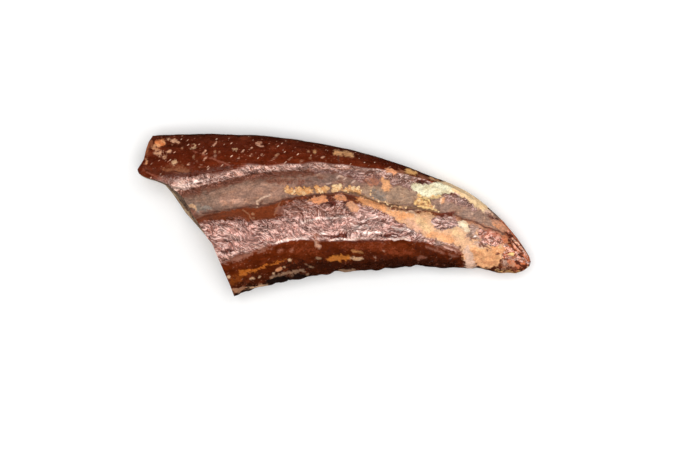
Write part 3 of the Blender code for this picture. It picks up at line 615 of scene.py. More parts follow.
FINE_MARKS = (
    # dot
    ("rose_pale", ((-3.4, -4.6, 0.14), (-3.2, -5.3, 0.31), (-2.7, -5.6, 0.36))),
    # tan tick
    ("ochre", ((3.3, -6.4, 0.13), (4.2, -6.5, 0.14), (5.1, -6.7, 0.12))),
    # dot
    ("cream_tan", ((-14.9, -11.3, 0.25), (-14.4, -11.2, 0.23)), ((-18.8, -11.0, 0.29),),
     ((-13.3, -11.0, 0.2),)),
    ("tan_orange", ((-10.2, -9.9, 0.34), (-9.6, -9.6, 0.38))),
    ("cream_tan", ((-10.8, -10.5, 0.22),), ((-8.8, -9.4, 0.18),), ((-7.9, -8.1, 0.29),)),
    ("rose_smear", ((-9.8, -6.5, 0.2), (-9.4, -6.3, 0.18)), ((-7.6, -6.4, 0.16), (-7.3, -6.2, 0.13))),
    ("ash", ((-5.0, -8.8, 0.16),), ((-4.3, -9.2, 0.18), (-3.8, -9.4, 0.16)), ((-4.8, -10.6, 0.23),),
     ((-3.0, -7.7, 0.2), (-2.4, -7.7, 0.18))),
    ("rose_pale", ((7.4, -7.4, 0.16),), ((8.9, -6.3, 0.14),)),
    ("tan", ((-27.2, 12.1, 0.2),), ((-29.0, 12.7, 0.16),), ((-25.1, 10.5, 0.2),), ((-21.3, 11.4, 0.18),),
     ((-20.5, 11.2, 0.18),)),
    ("rose_pale", ((-21.3, 10.7, 0.23),)),
    ("tan", ((-4.6, 11.4, 0.22),)),
    ("olive_tan", ((-3.4, 11.4, 0.29),)),
    ("tan", ((-10.3, 10.6, 0.22), (-9.9, 10.9, 0.14)), ((-4.3, 10.2, 0.2),), ((-7.8, 10.1, 0.18),)),
    # fleck, squiggle
    ("fleck", ((-23.4, 11.2, 0.13), (-22.9, 11.6)), ((-26.2, 8.9, 0.14), (-25.7, 9.3)),
     ((-24.1, 8.6, 0.13), (-23.7, 9.0)), ((-23.4, 9.8, 0.12), (-22.9, 10.3)),
     ((-16.5, 11.2, 0.14), (-16.1, 11.6)), ((-15.1, 11.7, 0.13), (-14.6, 12.1)),
     ((-17.2, 9.9, 0.13), (-16.8, 10.3)), ((-11.1, 9.8, 0.13), (-10.6, 10.3)),
     ((-8.1, 9.8, 0.13), (-7.5, 10.3)), ((-6.1, 9.4, 0.13), (-5.6, 9.8)), ((-2.3, 10.3, 0.13), (-1.7, 10.6)),
     ((-19.2, 9.0, 0.13), (-18.6, 9.3)), ((-21.6, 12.3, 0.13), (-21.0, 13.2, 0.12)),
     ((-15.1, 10.5, 0.13), (-14.7, 10.9)), ((-13.0, 10.7, 0.13), (-12.7, 10.9)),
     ((-14.0, 12.7, 0.12), (-13.6, 13.1), (-13.0, 13.0), (-13.7, 12.5), (-13.2, 12.3), (-12.6, 12.3))),
    # red scratch
    ("scratch", ((-25.2, 11.5, 0.12), (-23.1, 10.7), (-20.8, 9.7), (-18.4, 8.8))),
    # back crack
    ("crack", ((0.8, 10.7, 0.12), (0.7, 10.1), (1.0, 9.5))),
    # wall curve
    ("wall_light", ((-16.3, 1.0, 0.12), (-15.4, 0.3), (-14.7, -0.8))),
    # wall blob
    ("tan", ((-14.5, 0.2, 0.25),), ((-14.4, -0.5, 0.18),)),
    # wall crease
    ("wall_light", ((-9.6, 2.3, 0.12), (-10.2, 1.2, 0.13), (-10.7, 0.0, 0.12))),
    # corner streak
    ("tan_orange", ((-33.8, 10.2, 0.12), (-33.4, 9.6), (-33.6, 9.0))),
    # hook
    ("hook_pale", ((-13.7, 1.6, 0.13), (-13.8, 2.4, 0.16), (-12.9, 3.1, 0.14), (-11.4, 3.6, 0.12))),
    ("crack", ((-13.3, 1.7, 0.12), (-13.3, 2.2), (-12.7, 2.7))),
    # diagonal scratch
    ("deep_red", ((-22.8, -3.3, 0.12), (-21.1, -4.6), (-19.5, -5.8))),
    ("scratch", ((-20.4, -1.3, 0.12), (-18.4, -1.7), (-16.8, -2.6))),
    # whirl
    ("rosy_line", ((-14.1, -2.9, 0.12), (-12.9, -3.0, 0.14), (-11.9, -3.8), (-12.2, -4.5, 0.12)),
     ((-14.5, -5.3, 0.13), (-13.4, -5.9, 0.16), (-12.3, -5.5, 0.14), (-11.7, -4.7, 0.12))),
    ("deep_red", ((-14.3, -3.8, 0.14), (-13.5, -3.5, 0.12)), ((-13.2, -5.0, 0.13), (-12.5, -4.9, 0.12))),
    # sheen, line under the peach
    ("rosy_line", ((-20.2, -7.8, 0.13), (-18.6, -7.3, 0.14), (-17.0, -6.4, 0.16), (-15.4, -5.9, 0.13)),
     ((-22.2, -4.7, 0.12), (-21.7, -5.8, 0.13), (-21.0, -7.0, 0.12)),
     ((-20.2, -2.5, 0.12), (-18.8, -2.1, 0.14), (-17.6, -2.4, 0.12)),
     ((-19.2, -3.3, 0.12), (-17.9, -3.8, 0.14), (-17.0, -4.0, 0.12)),
     ((15.4, -4.2, 0.12), (17.6, -4.7, 0.13), (19.7, -5.6), (21.9, -6.4, 0.12)),
     ((18.4, -4.6, 0.12), (20.4, -5.1, 0.13), (22.2, -5.8, 0.12))),
    # line under the peach, lower band hook, lower band
    ("streak_rose", ((16.5, -5.7, 0.13), (18.3, -6.2, 0.14), (19.7, -6.8, 0.13)),
     ((15.2, -7.9, 0.12), (15.6, -7.5), (16.5, -7.6)),
     ((17.4, -5.0, 0.12), (18.6, -5.4, 0.14), (19.7, -5.7, 0.12)), ((18.7, -6.4, 0.13), (19.5, -6.7, 0.14)),
     ((20.8, -7.0, 0.12), (21.7, -7.2, 0.14), (22.4, -7.3, 0.12))),
    # lip line
    ("scratch", ((-33.6, 7.7, 0.12), (-32.1, 7.0), (-30.7, 6.4))),
    # dark dot
    ("maroon", ((25.5, -8.7, 0.18),), ((25.8, -9.4, 0.23),)),
    # groove crack along the wall's foot: a shallow crack, its dark line partly painted shadow
    ("crack", ((-23.5, 0.4, 0.12), (-19.5, 0.9), (-17.0, 1.3), (-15.2, 1.6), (-13.0, 1.8), (-11.2, 2.1),
      (-9.3, 2.8), (-6.9, 3.2), (-4.0, 3.5), (-0.8, 3.9), (1.9, 4.0))),
    ("crack_olive", ((1.9, 4.0, 0.12), (4.2, 3.9), (5.7, 3.3, 0.13), (7.1, 2.6), (8.9, 2.1, 0.12),
      (11.4, 1.7), (13.9, 1.4), (16.1, 1.0), (17.9, 0.6))),
    ("crack_red", ((21.9, 0.0, 0.13), (23.1, -0.6, 0.12), (24.6, -0.9, 0.13), (25.8, -1.3, 0.14),
      (27.1, -2.1, 0.18), (28.2, -2.4, 0.2), (29.6, -2.8, 0.18), (30.7, -3.2, 0.14))),
    # crumb line
    ("cream_tan", ((7.5, 2.8, 0.12), (8.9, 2.3, 0.13), (10.0, 2.1)),
     ((10.7, 1.5, 0.13), (12.2, 1.4), (13.0, 1.6, 0.12))),
    ("maroon", ((12.9, 1.1, 0.13), (14.3, 1.0, 0.12))),
    # peach ridge
    ("peach_light", ((13.0, 0.5, 0.13), (13.6, 0.8, 0.16), (14.3, 0.6), (14.8, 0.1, 0.13))),
    # oval glint
    ("glint", ((18.3, -0.5, 0.18), (18.9, -0.8, 0.2)), ((20.6, -0.3, 0.13), (21.1, -0.5))),
    # oval line
    ("rosy_line", ((19.3, -0.4, 0.13), (20.2, -0.8), (21.3, -0.9))),
    ("tip_dark", ((18.0, -1.3, 0.13), (19.0, -1.5, 0.14), (20.1, -1.4, 0.13))),
    ("rosy_line", ((18.6, -2.1, 0.13), (19.9, -2.1, 0.14), (21.0, -1.7, 0.13))),
    ("tip_dark", ((19.7, -2.3, 0.13), (20.8, -2.3), (21.5, -1.8))),
    # cream oval
    ("orange_soft", ((19.5, 2.4, 0.22), (19.7, 3.0, 0.25))),
    ("peach_light", ((19.2, 2.2, 0.12), (19.2, 3.0), (19.6, 3.3))),
    # cream speck
    ("cream_rose", ((22.0, 2.3, 0.16),), ((24.8, 0.3, 0.16),), ((27.0, -0.4, 0.14),)),
    # swirl ridge
    ("gold_pale", ((14.5, 1.9, 0.14), (14.7, 2.5, 0.16), (15.3, 3.0), (16.2, 3.1), (16.9, 2.8),
      (17.3, 2.1, 0.14)), ((15.0, 1.5, 0.16), (15.8, 1.5), (16.6, 1.3, 0.18), (17.3, 1.1, 0.16)),
     ((15.3, 2.1, 0.14), (15.8, 2.6, 0.13), (16.4, 2.4, 0.14), (16.5, 1.9))),
    # swirl gap
    ("gold_dark", ((15.0, 2.1, 0.12), (15.3, 2.6), (16.0, 2.8), (16.8, 2.5), (16.9, 1.8)),
     ((15.6, 1.8, 0.12), (16.0, 2.1))),
    # crumb by the swirl
    ("pale_warm", ((17.6, 1.0, 0.14), (18.4, 0.7, 0.16))),
    # film spot
    ("olive_gold", ((17.7, 3.5, 0.2),), ((15.2, 3.6, 0.16),)),
    # tip bright streak: painted highlights
    ("tip_streak", ((32.1, -4.1, 0.13), (32.7, -4.8, 0.16), (33.4, -5.5), (34.0, -6.1, 0.14)),
     ((34.0, -6.3, 0.12), (34.5, -6.8, 0.14), (34.7, -7.2, 0.12))),
    ("tip_rose_pale", ((32.2, -5.1, 0.13), (32.9, -5.8, 0.14), (33.5, -6.5, 0.13))),
    # tip dark streak
    ("tip_dark", ((32.1, -4.6, 0.12), (33.0, -5.5, 0.13), (33.9, -6.5)),
     ((32.8, -4.4, 0.13), (33.6, -5.3, 0.14), (34.5, -6.2), (34.9, -7.1)),
     ((31.9, -5.5, 0.13), (32.5, -6.2))),
    # tip glint
    ("peach_light", ((34.9, -9.3, 0.16),)),
    # tip maroon tick
    ("maroon", ((27.7, -0.1, 0.13), (28.4, -0.5, 0.14), (29.6, -0.8)), ((27.3, 0.4, 0.12), (28.0, 0.1))),
    # grey patch
    ("glint", ((25.2, -3.9, 0.16), (25.5, -3.6, 0.14))),
    ("tip_brown", ((24.6, -4.1, 0.13), (25.3, -4.3))),
    # mottle
    ("tip_rose_pale", ((26.9, -4.0, 0.14), (27.3, -3.8, 0.13)), ((25.9, -4.6, 0.14), (26.4, -4.3)),
     ((27.8, -5.1, 0.16), (28.3, -4.9, 0.14)), ((29.2, -3.9, 0.14), (30.0, -4.0)),
     ((30.6, -5.5, 0.16), (30.9, -5.2, 0.13)), ((28.0, -3.1, 0.13), (28.7, -3.0))),
    ("tip_brown", ((27.0, -3.3, 0.14), (27.5, -3.0, 0.13)), ((27.9, -3.9, 0.14), (28.4, -4.3, 0.13)),
     ((29.4, -4.8, 0.16), (29.9, -5.0, 0.14)), ((26.1, -5.1, 0.14), (26.4, -5.6, 0.13)),
     ((29.1, -3.3, 0.13), (29.7, -3.2))),
    # groove glint
    ("groove_light", ((0.4, 6.6, 0.13), (1.0, 7.0, 0.14), (1.6, 6.9, 0.13)), ((1.7, 6.4, 0.13), (2.2, 6.8)),
     ((-3.1, 7.3, 0.13), (-2.4, 7.5)), ((3.1, 5.9, 0.13), (3.7, 6.2)), ((-1.3, 5.7, 0.13), (-0.6, 5.8))),
    # groove dark
    ("crack_red", ((-3.0, 6.8, 0.16), (-2.1, 6.6)), ((0.7, 6.0, 0.16), (1.5, 5.8)),
     ((-0.3, 7.5, 0.14), (0.4, 7.6)), ((2.6, 7.0, 0.16), (3.3, 6.7, 0.14)), ((-4.8, 6.2, 0.14), (-3.9, 6.0))),
    # orange spot
    ("orange_soft", ((-32.1, 12.6, 0.2), (-31.4, 12.6, 0.23)), ((-30.8, 13.4, 0.18), (-30.4, 13.1, 0.14))),
    # crest glint
    ("glint", ((-27.6, 4.9, 0.13), (-26.0, 5.7, 0.16), (-24.2, 6.2, 0.18), (-22.2, 6.6, 0.14))),
    ("rosy_line", ((-21.7, 6.8, 0.16), (-20.2, 7.0, 0.18), (-19.0, 7.3, 0.13)),
     ((-17.7, 7.5, 0.13), (-15.9, 8.0, 0.16), (-14.1, 8.4), (-12.5, 8.7), (-11.2, 8.6, 0.12)),
     ((-10.5, 8.5, 0.13), (-8.4, 8.7, 0.16), (-6.2, 8.8, 0.14), (-4.0, 8.9, 0.12)),
     ((-3.0, 8.9, 0.12), (-0.4, 8.8, 0.14), (2.1, 8.7, 0.13)),
     ((-27.4, 4.4, 0.13), (-25.3, 5.0, 0.14), (-23.1, 5.6, 0.13), (-21.3, 6.1, 0.12)),
     ((-19.5, 6.6, 0.12), (-17.4, 7.1, 0.14), (-15.2, 7.6, 0.13)),
     ((-12.0, 8.1, 0.12), (-9.4, 8.2, 0.14), (-6.9, 8.2, 0.12))),
    # crest gap
    ("sheen_dark", ((-24.9, 5.6, 0.12), (-22.8, 6.1, 0.13), (-20.2, 6.6, 0.12)),
     ((-16.6, 7.5, 0.12), (-14.1, 7.9, 0.13), (-12.3, 8.3, 0.12)),
     ((-9.1, 8.4, 0.12), (-6.2, 8.5), (-3.7, 8.6))),
    # sheen glint
    ("glint", ((-10.5, -5.0, 0.12), (-8.7, -4.6, 0.16), (-6.8, -4.2), (-4.8, -4.2, 0.13)),
     ((-2.4, -3.3, 0.2), (-1.3, -3.3, 0.18)), ((-5.7, -1.2, 0.13), (-4.0, -0.8, 0.16), (-2.2, -0.5, 0.13)),
     ((-1.9, -0.7, 0.13), (0.3, -0.4, 0.16), (2.4, -0.3, 0.13)),
     ((-0.8, -4.6, 0.13), (1.3, -4.1, 0.16), (3.1, -4.4), (4.6, -3.9, 0.13)),
     ((3.9, -2.8, 0.13), (5.7, -3.2, 0.16), (7.5, -3.0, 0.14), (8.9, -3.3, 0.13)),
     ((9.3, -3.8, 0.13), (10.7, -4.4, 0.16), (12.2, -4.1), (13.6, -4.5, 0.13)),
     ((10.3, -2.1, 0.13), (11.8, -2.6, 0.16), (13.2, -2.5, 0.14), (14.3, -3.0, 0.13)),
     ((5.0, -1.2, 0.13), (6.4, -0.5, 0.16), (7.8, -0.3, 0.14)),
     ((3.1, -1.6, 0.13), (4.6, -2.1, 0.16), (6.0, -1.7, 0.13))),
    # sheen gap
    ("sheen_dark", ((-3.0, -0.1, 0.13), (-0.1, 0.0, 0.18), (3.1, 0.3, 0.14))),
    ("deep_red", ((6.8, -3.5, 0.12), (8.9, -3.8, 0.14), (11.1, -3.9), (13.2, -3.6, 0.12))),
    ("sheen_dark", ((11.4, -3.1, 0.13), (13.2, -3.0, 0.16), (14.7, -3.3, 0.13)),
     ((2.8, -2.3, 0.13), (5.0, -2.6, 0.16), (7.1, -2.3, 0.13))),
    ("deep_red", ((2.1, -4.7, 0.12), (4.2, -4.8, 0.16), (6.8, -4.6, 0.14), (8.9, -4.7, 0.12))),
    # mauve glint
    ("crest_rose", ((5.3, 7.1, 0.14), (6.0, 6.4), (6.7, 5.8)), ((6.6, 7.3, 0.13), (7.3, 6.7))),
    # mauve dark
    ("sheen_dark", ((5.0, 6.6, 0.14), (5.7, 5.8))),
)
# The layers of marks, each with how much its edges take up of the wobble and of the fray below, and how far
# the fine and the coarse unrest move them in the material, in edge widths.
LAYERS = {"wide": (WIDE_MARKS, (0.6, 0.8), (4.5, 5.0)), "patch": (PATCH_MARKS, (0.25, 1.0), (4.5, 4.0)),
          "fine": (FINE_MARKS, (0.1, 0.35), (2.6, 1.4))}
WOBBLE = ((1.5, 0.5), (0.6, 0.3))  # how the marks' edges wander: (size, reach) in mm
FRAY = ((0.9, 0.4), (0.45, 0.3))  # and how they are frayed
NOISE_APART = 40.0  # moves the noise, so that the two directions wander differently
FIELD_LIMIT = 3.0  # marks' fields are cut off this many edge widths from the edge
MARK_RISE = (-1.0, 1.5)  # a mark's relief rises over these edge widths
RISE_SHARE = 0.3  # height counts this much in how far a place is from a mark
FAR_SIDE = (0.0, 0.6)  # the far side starts this far below the middle, as a share of the half thickness
FAR_STRAY = (9.0, 9.0)  # how its marks stray along the length: (size, reach) in mm
FAR_BREADTH = 2.0  # for that, neighbouring feature lines count as this many mm apart

# The ground colour across the section, from the back (0) over the numbered feature lines to the belly (9).
# It darkens towards the back and belly edges as painted shade, and its pale bands along the crest and over
# the bulge are partly painted sheen.
GROUND = ((0.0, (66, 21, 5)), (0.35, (76, 23, 4)), (1.0, (86, 26, 5)), (1.75, (96, 33, 10)),
          (1.88, (172, 125, 110)), (2.2, (164, 117, 101)), (2.45, (110, 64, 46)), (3.0, (126, 92, 76)),
          (3.95, (126, 94, 78)), (4.2, (110, 48, 22)), (4.85, (112, 50, 24)), (5.02, (156, 104, 92)),
          (5.4, (178, 124, 111)), (6.3, (180, 124, 111)), (6.78, (170, 114, 100)), (7.0, (96, 34, 7)),
          (8.0, (80, 27, 4)), (8.6, (50, 18, 5)), (9.0, (38, 14, 5)))

# By the same places: the ground's roughness, and how crinkled, how gritty and how flecked it is.
GROUND_ROUGHNESS = ((0.0, 0.34), (1.6, 0.2), (1.9, 0.24), (2.3, 0.3), (3.0, 0.6), (4.0, 0.58), (4.3, 0.2),
                    (4.85, 0.2), (5.05, 0.24), (6.85, 0.24), (7.0, 0.16), (8.4, 0.2), (9.0, 0.45))
CRINKLE = ((0.0, 0.12), (1.75, 0.12), (1.88, 1.0), (2.3, 1.0), (2.6, 0.85), (3.0, 0.75), (3.6, 0.25),
           (4.3, 0.06), (4.7, 0.06), (4.88, 0.7), (5.0, 1.0), (6.85, 1.0), (7.0, 0.12), (8.2, 0.14),
           (9.0, 0.6))
GRIT = ((0.0, 0.0), (2.2, 0.0), (2.9, 0.8), (4.0, 0.9), (4.15, 0.0), (8.6, 0.0), (9.0, 0.7))
FLECKS = ((0.0, 0.25), (0.3, 0.8), (1.0, 1.0), (1.7, 0.8), (2.05, 0.1), (7.2, 0.0), (7.6, 0.25),
          (8.6, 0.3), (9.0, 0.1))
BAND_WANDER = (3.0, 0.25)  # how all of these wander: (size in mm, reach in feature lines)
TIP_CRINKLE = 0.36  # the tip is at least this crinkled all round,
CRINKLED_TIP = (23.0, 28.0)  # from the first x on, and fully from the second
CRINKLED_SHOULDER = ((-10.0, 0.0), (-8.6, 0.9), (1.5, 0.9), (3.5, 0.0))  # by x, over the groove's foot too
SHOULDER_FROM = (3.9, 4.2)  # there it starts at the first place across the section, fully at the second


def srgb(red, green, blue):
    """A colour given as it looks on a screen, 0 to 255, as Blender's linear values."""
    values = np.array([red, green, blue]) / 255
    return tuple(np.where(values <= 0.04045, values / 12.92, ((values + 0.055) / 1.055) ** 2.4))


def opaque(colour):
    """A colour given as it looks on a screen, with alpha."""
    return (*srgb(*colour), 1.0)


def natural_spline(points):
    """Returns the smooth curve through (x, value) points as a function of an array of x."""
    xs, ys = np.array(points, float).T
    steps = np.diff(xs)
    count = len(xs)
    system = np.eye(count)
    right = np.zeros(count)
    for i in range(1, count - 1):
        system[i, i - 1:i + 2] = steps[i - 1], 2 * (steps[i - 1] + steps[i]), steps[i]
        right[i] = 6 * ((ys[i + 1] - ys[i]) / steps[i] - (ys[i] - ys[i - 1]) / steps[i - 1])
    bends = np.linalg.solve(system, right)

    def curve(x):
        i = np.clip(np.searchsorted(xs, x) - 1, 0, count - 2)
        h = steps[i]
        a = (xs[i + 1] - x) / h
        b = (x - xs[i]) / h
        bending = ((a ** 3 - a) * bends[i] + (b ** 3 - b) * bends[i + 1]) * h * h / 6
        return a * ys[i] + b * ys[i + 1] + bending

    return curve


def ring_weights(knots, samples):
    """Weights of each control point on each sample of a smooth closed curve, its knots running over 0..1."""
    count = len(knots)
    steps = np.diff(np.append(knots, knots[0] + 1.0))
    system = np.zeros((count, count))
    right = np.zeros((count, count))
    for i in range(count):
        before, after = steps[i - 1], steps[i]
        system[i, i - 1] += before
        system[i, i] += 2 * (before + after)
        system[i, (i + 1) % count] += after
        right[i, (i + 1) % count] += 6 / after
        right[i, i] -= 6 / after + 6 / before
        right[i, i - 1] += 6 / before
    bends = np.linalg.solve(system, right)
    weights = np.zeros((len(samples), count))
    for row, sample in enumerate(samples):
        i = int(np.searchsorted(knots, sample, side="right")) - 1
        after = (i + 1) % count
        h = steps[i]
        b = (sample - knots[i]) / h
        a = 1 - b
        weights[row, i] += a
        weights[row, after] += b
        weights[row] += ((a ** 3 - a) * bends[i] + (b ** 3 - b) * bends[after]) * h * h / 6
    return weights


def smoothstep(low, high, x):
    """0 below low, 1 above high and smooth between."""
    share = np.clip((x - low) / (high - low), 0, 1)
    return share * share * (3 - 2 * share)


def feature_lines():
    """The feature lines of one side, from the back to the belly, as named functions of x."""
    lines = {"back": BACK, "crest": CREST, "groove_top": GROOVE_TOP, "groove_foot": GROOVE_FOOT,
             "shoulder": SHOULDER, "bulge": BULGE, "flank": FLANK, "belly": BELLY}
    curves = {name: natural_spline(points) for name, points in lines.items()}

    def between(first, second, share):
        return lambda x: curves[first](x) * (1 - share) + curves[second](x) * share

    return {"back": curves["back"], "brow": between("back", "crest", BROW), "crest": curves["crest"],
            "groove_top": curves["groove_top"], "groove_foot": curves["groove_foot"],
            "shoulder": curves["shoulder"], "bulge": curves["bulge"], "flank": curves["flank"],
            "heel": between("flank", "belly", HEEL), "belly": curves["belly"]}


LINES = feature_lines()
half_thickness = natural_spline(HALF_THICKNESS)
middle_height = natural_spline(MIDDLE_HEIGHT)


def ring_order():
    """The control points of one cross-section in order: down the upper side, then up the lower side."""
    names = list(LINES)
    down = [(name, 1) for name in names]
    up = [(name, -1) for name in reversed(names[1:-1])]
    return down + up


def share_of(name, side, x):
    """How proud a line is of the middle plane at x. Towards the tip the section turns into a plain oval."""
    if name in ("back", "belly"):
        return np.zeros_like(x)
    shares = UPPER_SHARES if side > 0 else LOWER_SHARES
    centre = (LINES["back"](x) + LINES["belly"](x)) / 2
    reach = (LINES["back"](x) - LINES["belly"](x)) / 2
    offset = np.clip((LINES[name](x) - centre) / reach, -1, 1)
    oval = np.sqrt(1 - offset ** 2)
    fade = smoothstep(*GROOVE_FADES, x)
    return shares[name] * (1 - fade) + oval * fade


def section_knots():
    """Where each control point lies round the ring, from its distances on a typical cross-section."""
    x = np.array([TYPICAL_X])
    points = []
    for name, side in ring_order():
        z = side * share_of(name, side, x) * half_thickness(x)
        points.append((float(LINES[name](x)[0]), float(z[0])))
    points = np.array(points)
    gaps = np.linalg.norm(np.roll(points, -1, axis=0) - points, axis=1)
    return np.concatenate(([0.0], np.cumsum(gaps)[:-1])) / gaps.sum()


KNOTS = section_knots()


def surface(x, weights):
    """Points of the claw's skin: x is one array per sample of the ring, weights has one row per sample."""
    y = np.zeros_like(x)
    z = np.zeros_like(x)
    for column, (name, side) in enumerate(ring_order()):
        weight = weights[:, column]
        y += weight * LINES[name](x)
        z += weight * side * share_of(name, side, x) * half_thickness(x)
    return y, z + middle_height(x)


def break_x(y, z):
    """x of the broken end for a point of the rim."""
    edge_y, edge_x = np.array(BREAK_EDGE).T
    back_y, back_x = np.array(BREAK_SET_BACK).T
    upper = smoothstep(0.0, BREAK_THICKNESS, z)
    return np.interp(y, edge_y, edge_x) + upper * np.interp(y, back_y, back_x)


def break_line(weights):
    """x where each line of the skin meets the broken end, found by halving."""
    low = np.full(len(weights), BASE_X)
    high = np.full(len(weights), BREAK_ENDS_BY)
    for _ in range(HALVINGS):
        middle = (low + high) / 2
        y, z = surface(middle, weights)
        outside = middle < break_x(y, z)
        low = np.where(outside, middle, low)
        high = np.where(outside, high, middle)
    return (low + high) / 2


def lumps(points, sizes):
    """The height at each of many points of smooth lumps, given as (size, height) pairs in mm."""
    total = np.zeros(len(points))
    for size, height in sizes:
        total += height * np.array([noise.noise(point) for point in (points / size).tolist()])
    return total


def grid_normals(grid):
    """Unit normals of a grid that closes round its second axis."""
    along = np.gradient(grid, axis=0)
    around = np.roll(grid, -1, axis=1) - np.roll(grid, 1, axis=1)
    normals = np.cross(around, along)
    lengths = np.linalg.norm(normals, axis=2, keepdims=True)
    return normals / np.maximum(lengths, 1e-9)


def spine_depth(places, spine):
    """How deep inside a spine's half width each place lies, in mm; negative outside."""
    depth = np.full(places.shape[:2], -np.inf)
    for start, end in zip(spine[:-1], spine[1:]):
        along = end[:3] - start[:3]
        share = np.clip((places - start[:3]) @ along / max(along @ along, 1e-9), 0, 1)
        away = np.linalg.norm(places - start[:3] - share[..., None] * along, axis=2)
        depth = np.maximum(depth, start[3] + share * (end[3] - start[3]) - away)
    return depth


def laid_on(spine, near_side):
    """A spine's points with the rise of the near side under each: x, y, rise and half width."""
    laid = []
    for x, y, *own in spine:
        half_width = own[0] if own else half_width
        nearest = np.argmin(np.hypot(near_side[:, 0] - x, near_side[:, 1] - y))
        laid.append((x, y, near_side[nearest, 2], half_width))
    return np.array(laid if len(laid) > 1 else laid * 2)


def paint(places, marks, near_side):
    """Lays marks over places: returns their colours with the roughness fourth, their fields and their relief.

    A field is the depth inside a mark in edge widths, and where marks meet the deeper one shows.
    """
    shape = places.shape[:2]
    field = np.full(shape, -FIELD_LIMIT)
    colour = np.zeros(shape + (4,))
    relief = np.zeros(shape)
    for kind, *spines in marks:
        tone, roughness, softness, height = KINDS[kind]
        for spine in spines:
            depth = spine_depth(places, laid_on(spine, near_side)) / softness
            over = depth > field
            field = np.where(over, np.minimum(depth, FIELD_LIMIT), field)
            # A mark drawn later covers an earlier one wherever it is inside its own edge.
            over |= depth > 0
            colour[over] = (*srgb(*tone), roughness)
            relief = np.where(depth > 0, 0.0, relief)
            relief += height * smoothstep(*MARK_RISE, depth)
    return colour, field, relief


def ring_samples():
    """Where the columns lie round the ring, closer together on the middle of each side than on its edges."""
    half = AROUND // 2
    step = np.arange(half) / half
    step += MIDDLE_CROWDING * np.sin(2 * math.pi * step) / (2 * math.pi)
    belly = KNOTS[list(LINES).index("belly")]
    return np.concatenate((step * belly, belly + step * (1 - belly)))


def skin_grid():
    """The skin as rings of points, RINGS x AROUND x 3.

    With each point come its place across the section, from 0 at the back to 9 at the belly, and where its
    markings are looked up: x, y and rise off the middle plane.
    """
    samples = ring_samples()
    weights = ring_weights(KNOTS, samples)
    last = len(LINES) - 1
    places = np.concatenate((np.arange(last), np.arange(last, 0, -1), [0]))
    across = np.interp(samples, np.append(KNOTS, 1.0), places)
    start = break_line(weights)
    grid = np.zeros((RINGS, AROUND, 3))
    marks_at = np.zeros((RINGS, AROUND, 3))
    for ring in range(RINGS):
        along = ring / (RINGS - 1)
        share = 1 - (1 - along) ** RING_CROWDING
        x = start + (TIP_X - start) * share
        y, z = surface(x, weights)
        grid[ring] = np.stack((x, y, z), axis=1)
        # On the far side the markings stray along the length, so that it doesn't mirror the near one.
        below = smoothstep(*FAR_SIDE, (middle_height(x) - z) / half_thickness(x))
        stray = below * lumps(np.stack((x, across * FAR_BREADTH, np.zeros_like(x)), axis=1), (FAR_STRAY,))
        marks_x = np.minimum(x + stray, TIP_X)
        marks_y, marks_z = surface(marks_x, weights)
        rise = RISE_SHARE * np.abs(marks_z - middle_height(marks_x))
        marks_at[ring] = np.stack((marks_x, marks_y, rise), axis=1)
    return grid, np.broadcast_to(across, (RINGS, AROUND)), marks_at


def strayed(points, sizes):
    """How far marks stray in x and y at each point."""
    flat = points.reshape(-1, 3)
    stray = np.stack((lumps(flat, sizes), lumps(flat + NOISE_APART, sizes), np.zeros(len(flat))), axis=1)
    return stray.reshape(points.shape)


def painted_layers(points, marks_at):
    """Lays every layer of marks: {layer: (colours, fields)} and their relief together."""
    layers = {}
    relief = np.zeros(points.shape[:2])
    near_side = marks_at[:, :AROUND // 2].reshape(-1, 3)
    wobble = strayed(points, WOBBLE)
    fray = strayed(points, FRAY)
    for layer, (marks, (wobbly, frayed), _) in LAYERS.items():
        colour, field, height = paint(marks_at + wobbly * wobble + frayed * fray, marks, near_side)
        layers[layer] = colour, field
        relief += height
    return layers, relief


def weathered(grid, relief, crinkled):
    """Adds the swells, lumps, worn belly edge, cemented grains and the markings' relief to the skin."""
    flat = grid.reshape(-1, 3)
    near_belly = 1 - smoothstep(*BELLY_BAND, grid[..., 1] - LINES["belly"](grid[..., 0]))
    heights = lumps(flat, WEATHERING).reshape(grid.shape[:2]) + relief
    heights += near_belly * lumps(flat, BELLY_WEAR).reshape(grid.shape[:2])
    heights += crinkled * lumps(flat, FOLDED).reshape(grid.shape[:2])
    off_crest = np.abs(grid[..., 1] - LINES["crest"](grid[..., 0])) - banded(grid[..., 0], CREST_HALF_WIDTH)
    heights += CREST_RIDGE * smoothstep(CREST_EDGE, 0.0, off_crest)
    upper = grid[..., 2] > middle_height(grid[..., 0])
    for x, y, radius, rise in CRUMBS:
        away = np.hypot(grid[..., 0] - x, grid[..., 1] - y) / radius
        heights += upper * rise * np.exp(-away ** 2)
    heights *= 1 - smoothstep(TIP_X - TIP_SMOOTH, TIP_X, grid[..., 0])
    worn = grid + grid_normals(grid) * heights[..., None]
    worn[..., 2] = np.maximum(worn[..., 2], 0.0)
    return worn


def broken_face(rim):
    """Rows of the broken face between the two rims, CAP_ROWS x (AROUND / 2 - 1) x 3.

    With each point come its distances from the upper rim and from the nearest rim, in mm.
    """
    half = AROUND // 2
    upper = rim[1:half]
    lower = rim[:half:-1]
    thickness = np.linalg.norm(upper - lower, axis=1)
    span = np.sin(math.pi * np.arange(1, half) / half)
    rows = np.zeros((CAP_ROWS, half - 1, 3))
    depths = np.zeros((CAP_ROWS, half - 1, 2))
    for row in range(CAP_ROWS):
        share = (row + 1) / (CAP_ROWS + 1)
        rows[row] = upper * (1 - share) + lower * share
        inward = 4 * share * (1 - share)
        rough = lumps(rows[row], BREAK_LUMPS) * min(1.0, BREAK_LUMPS_RISE * inward)
        rows[row, :, 0] += (BREAK_HOLLOW * inward + rough) * span
        depths[row, :, 0] = share * thickness
        depths[row, :, 1] = min(share, 1 - share) * thickness
    return rows, depths


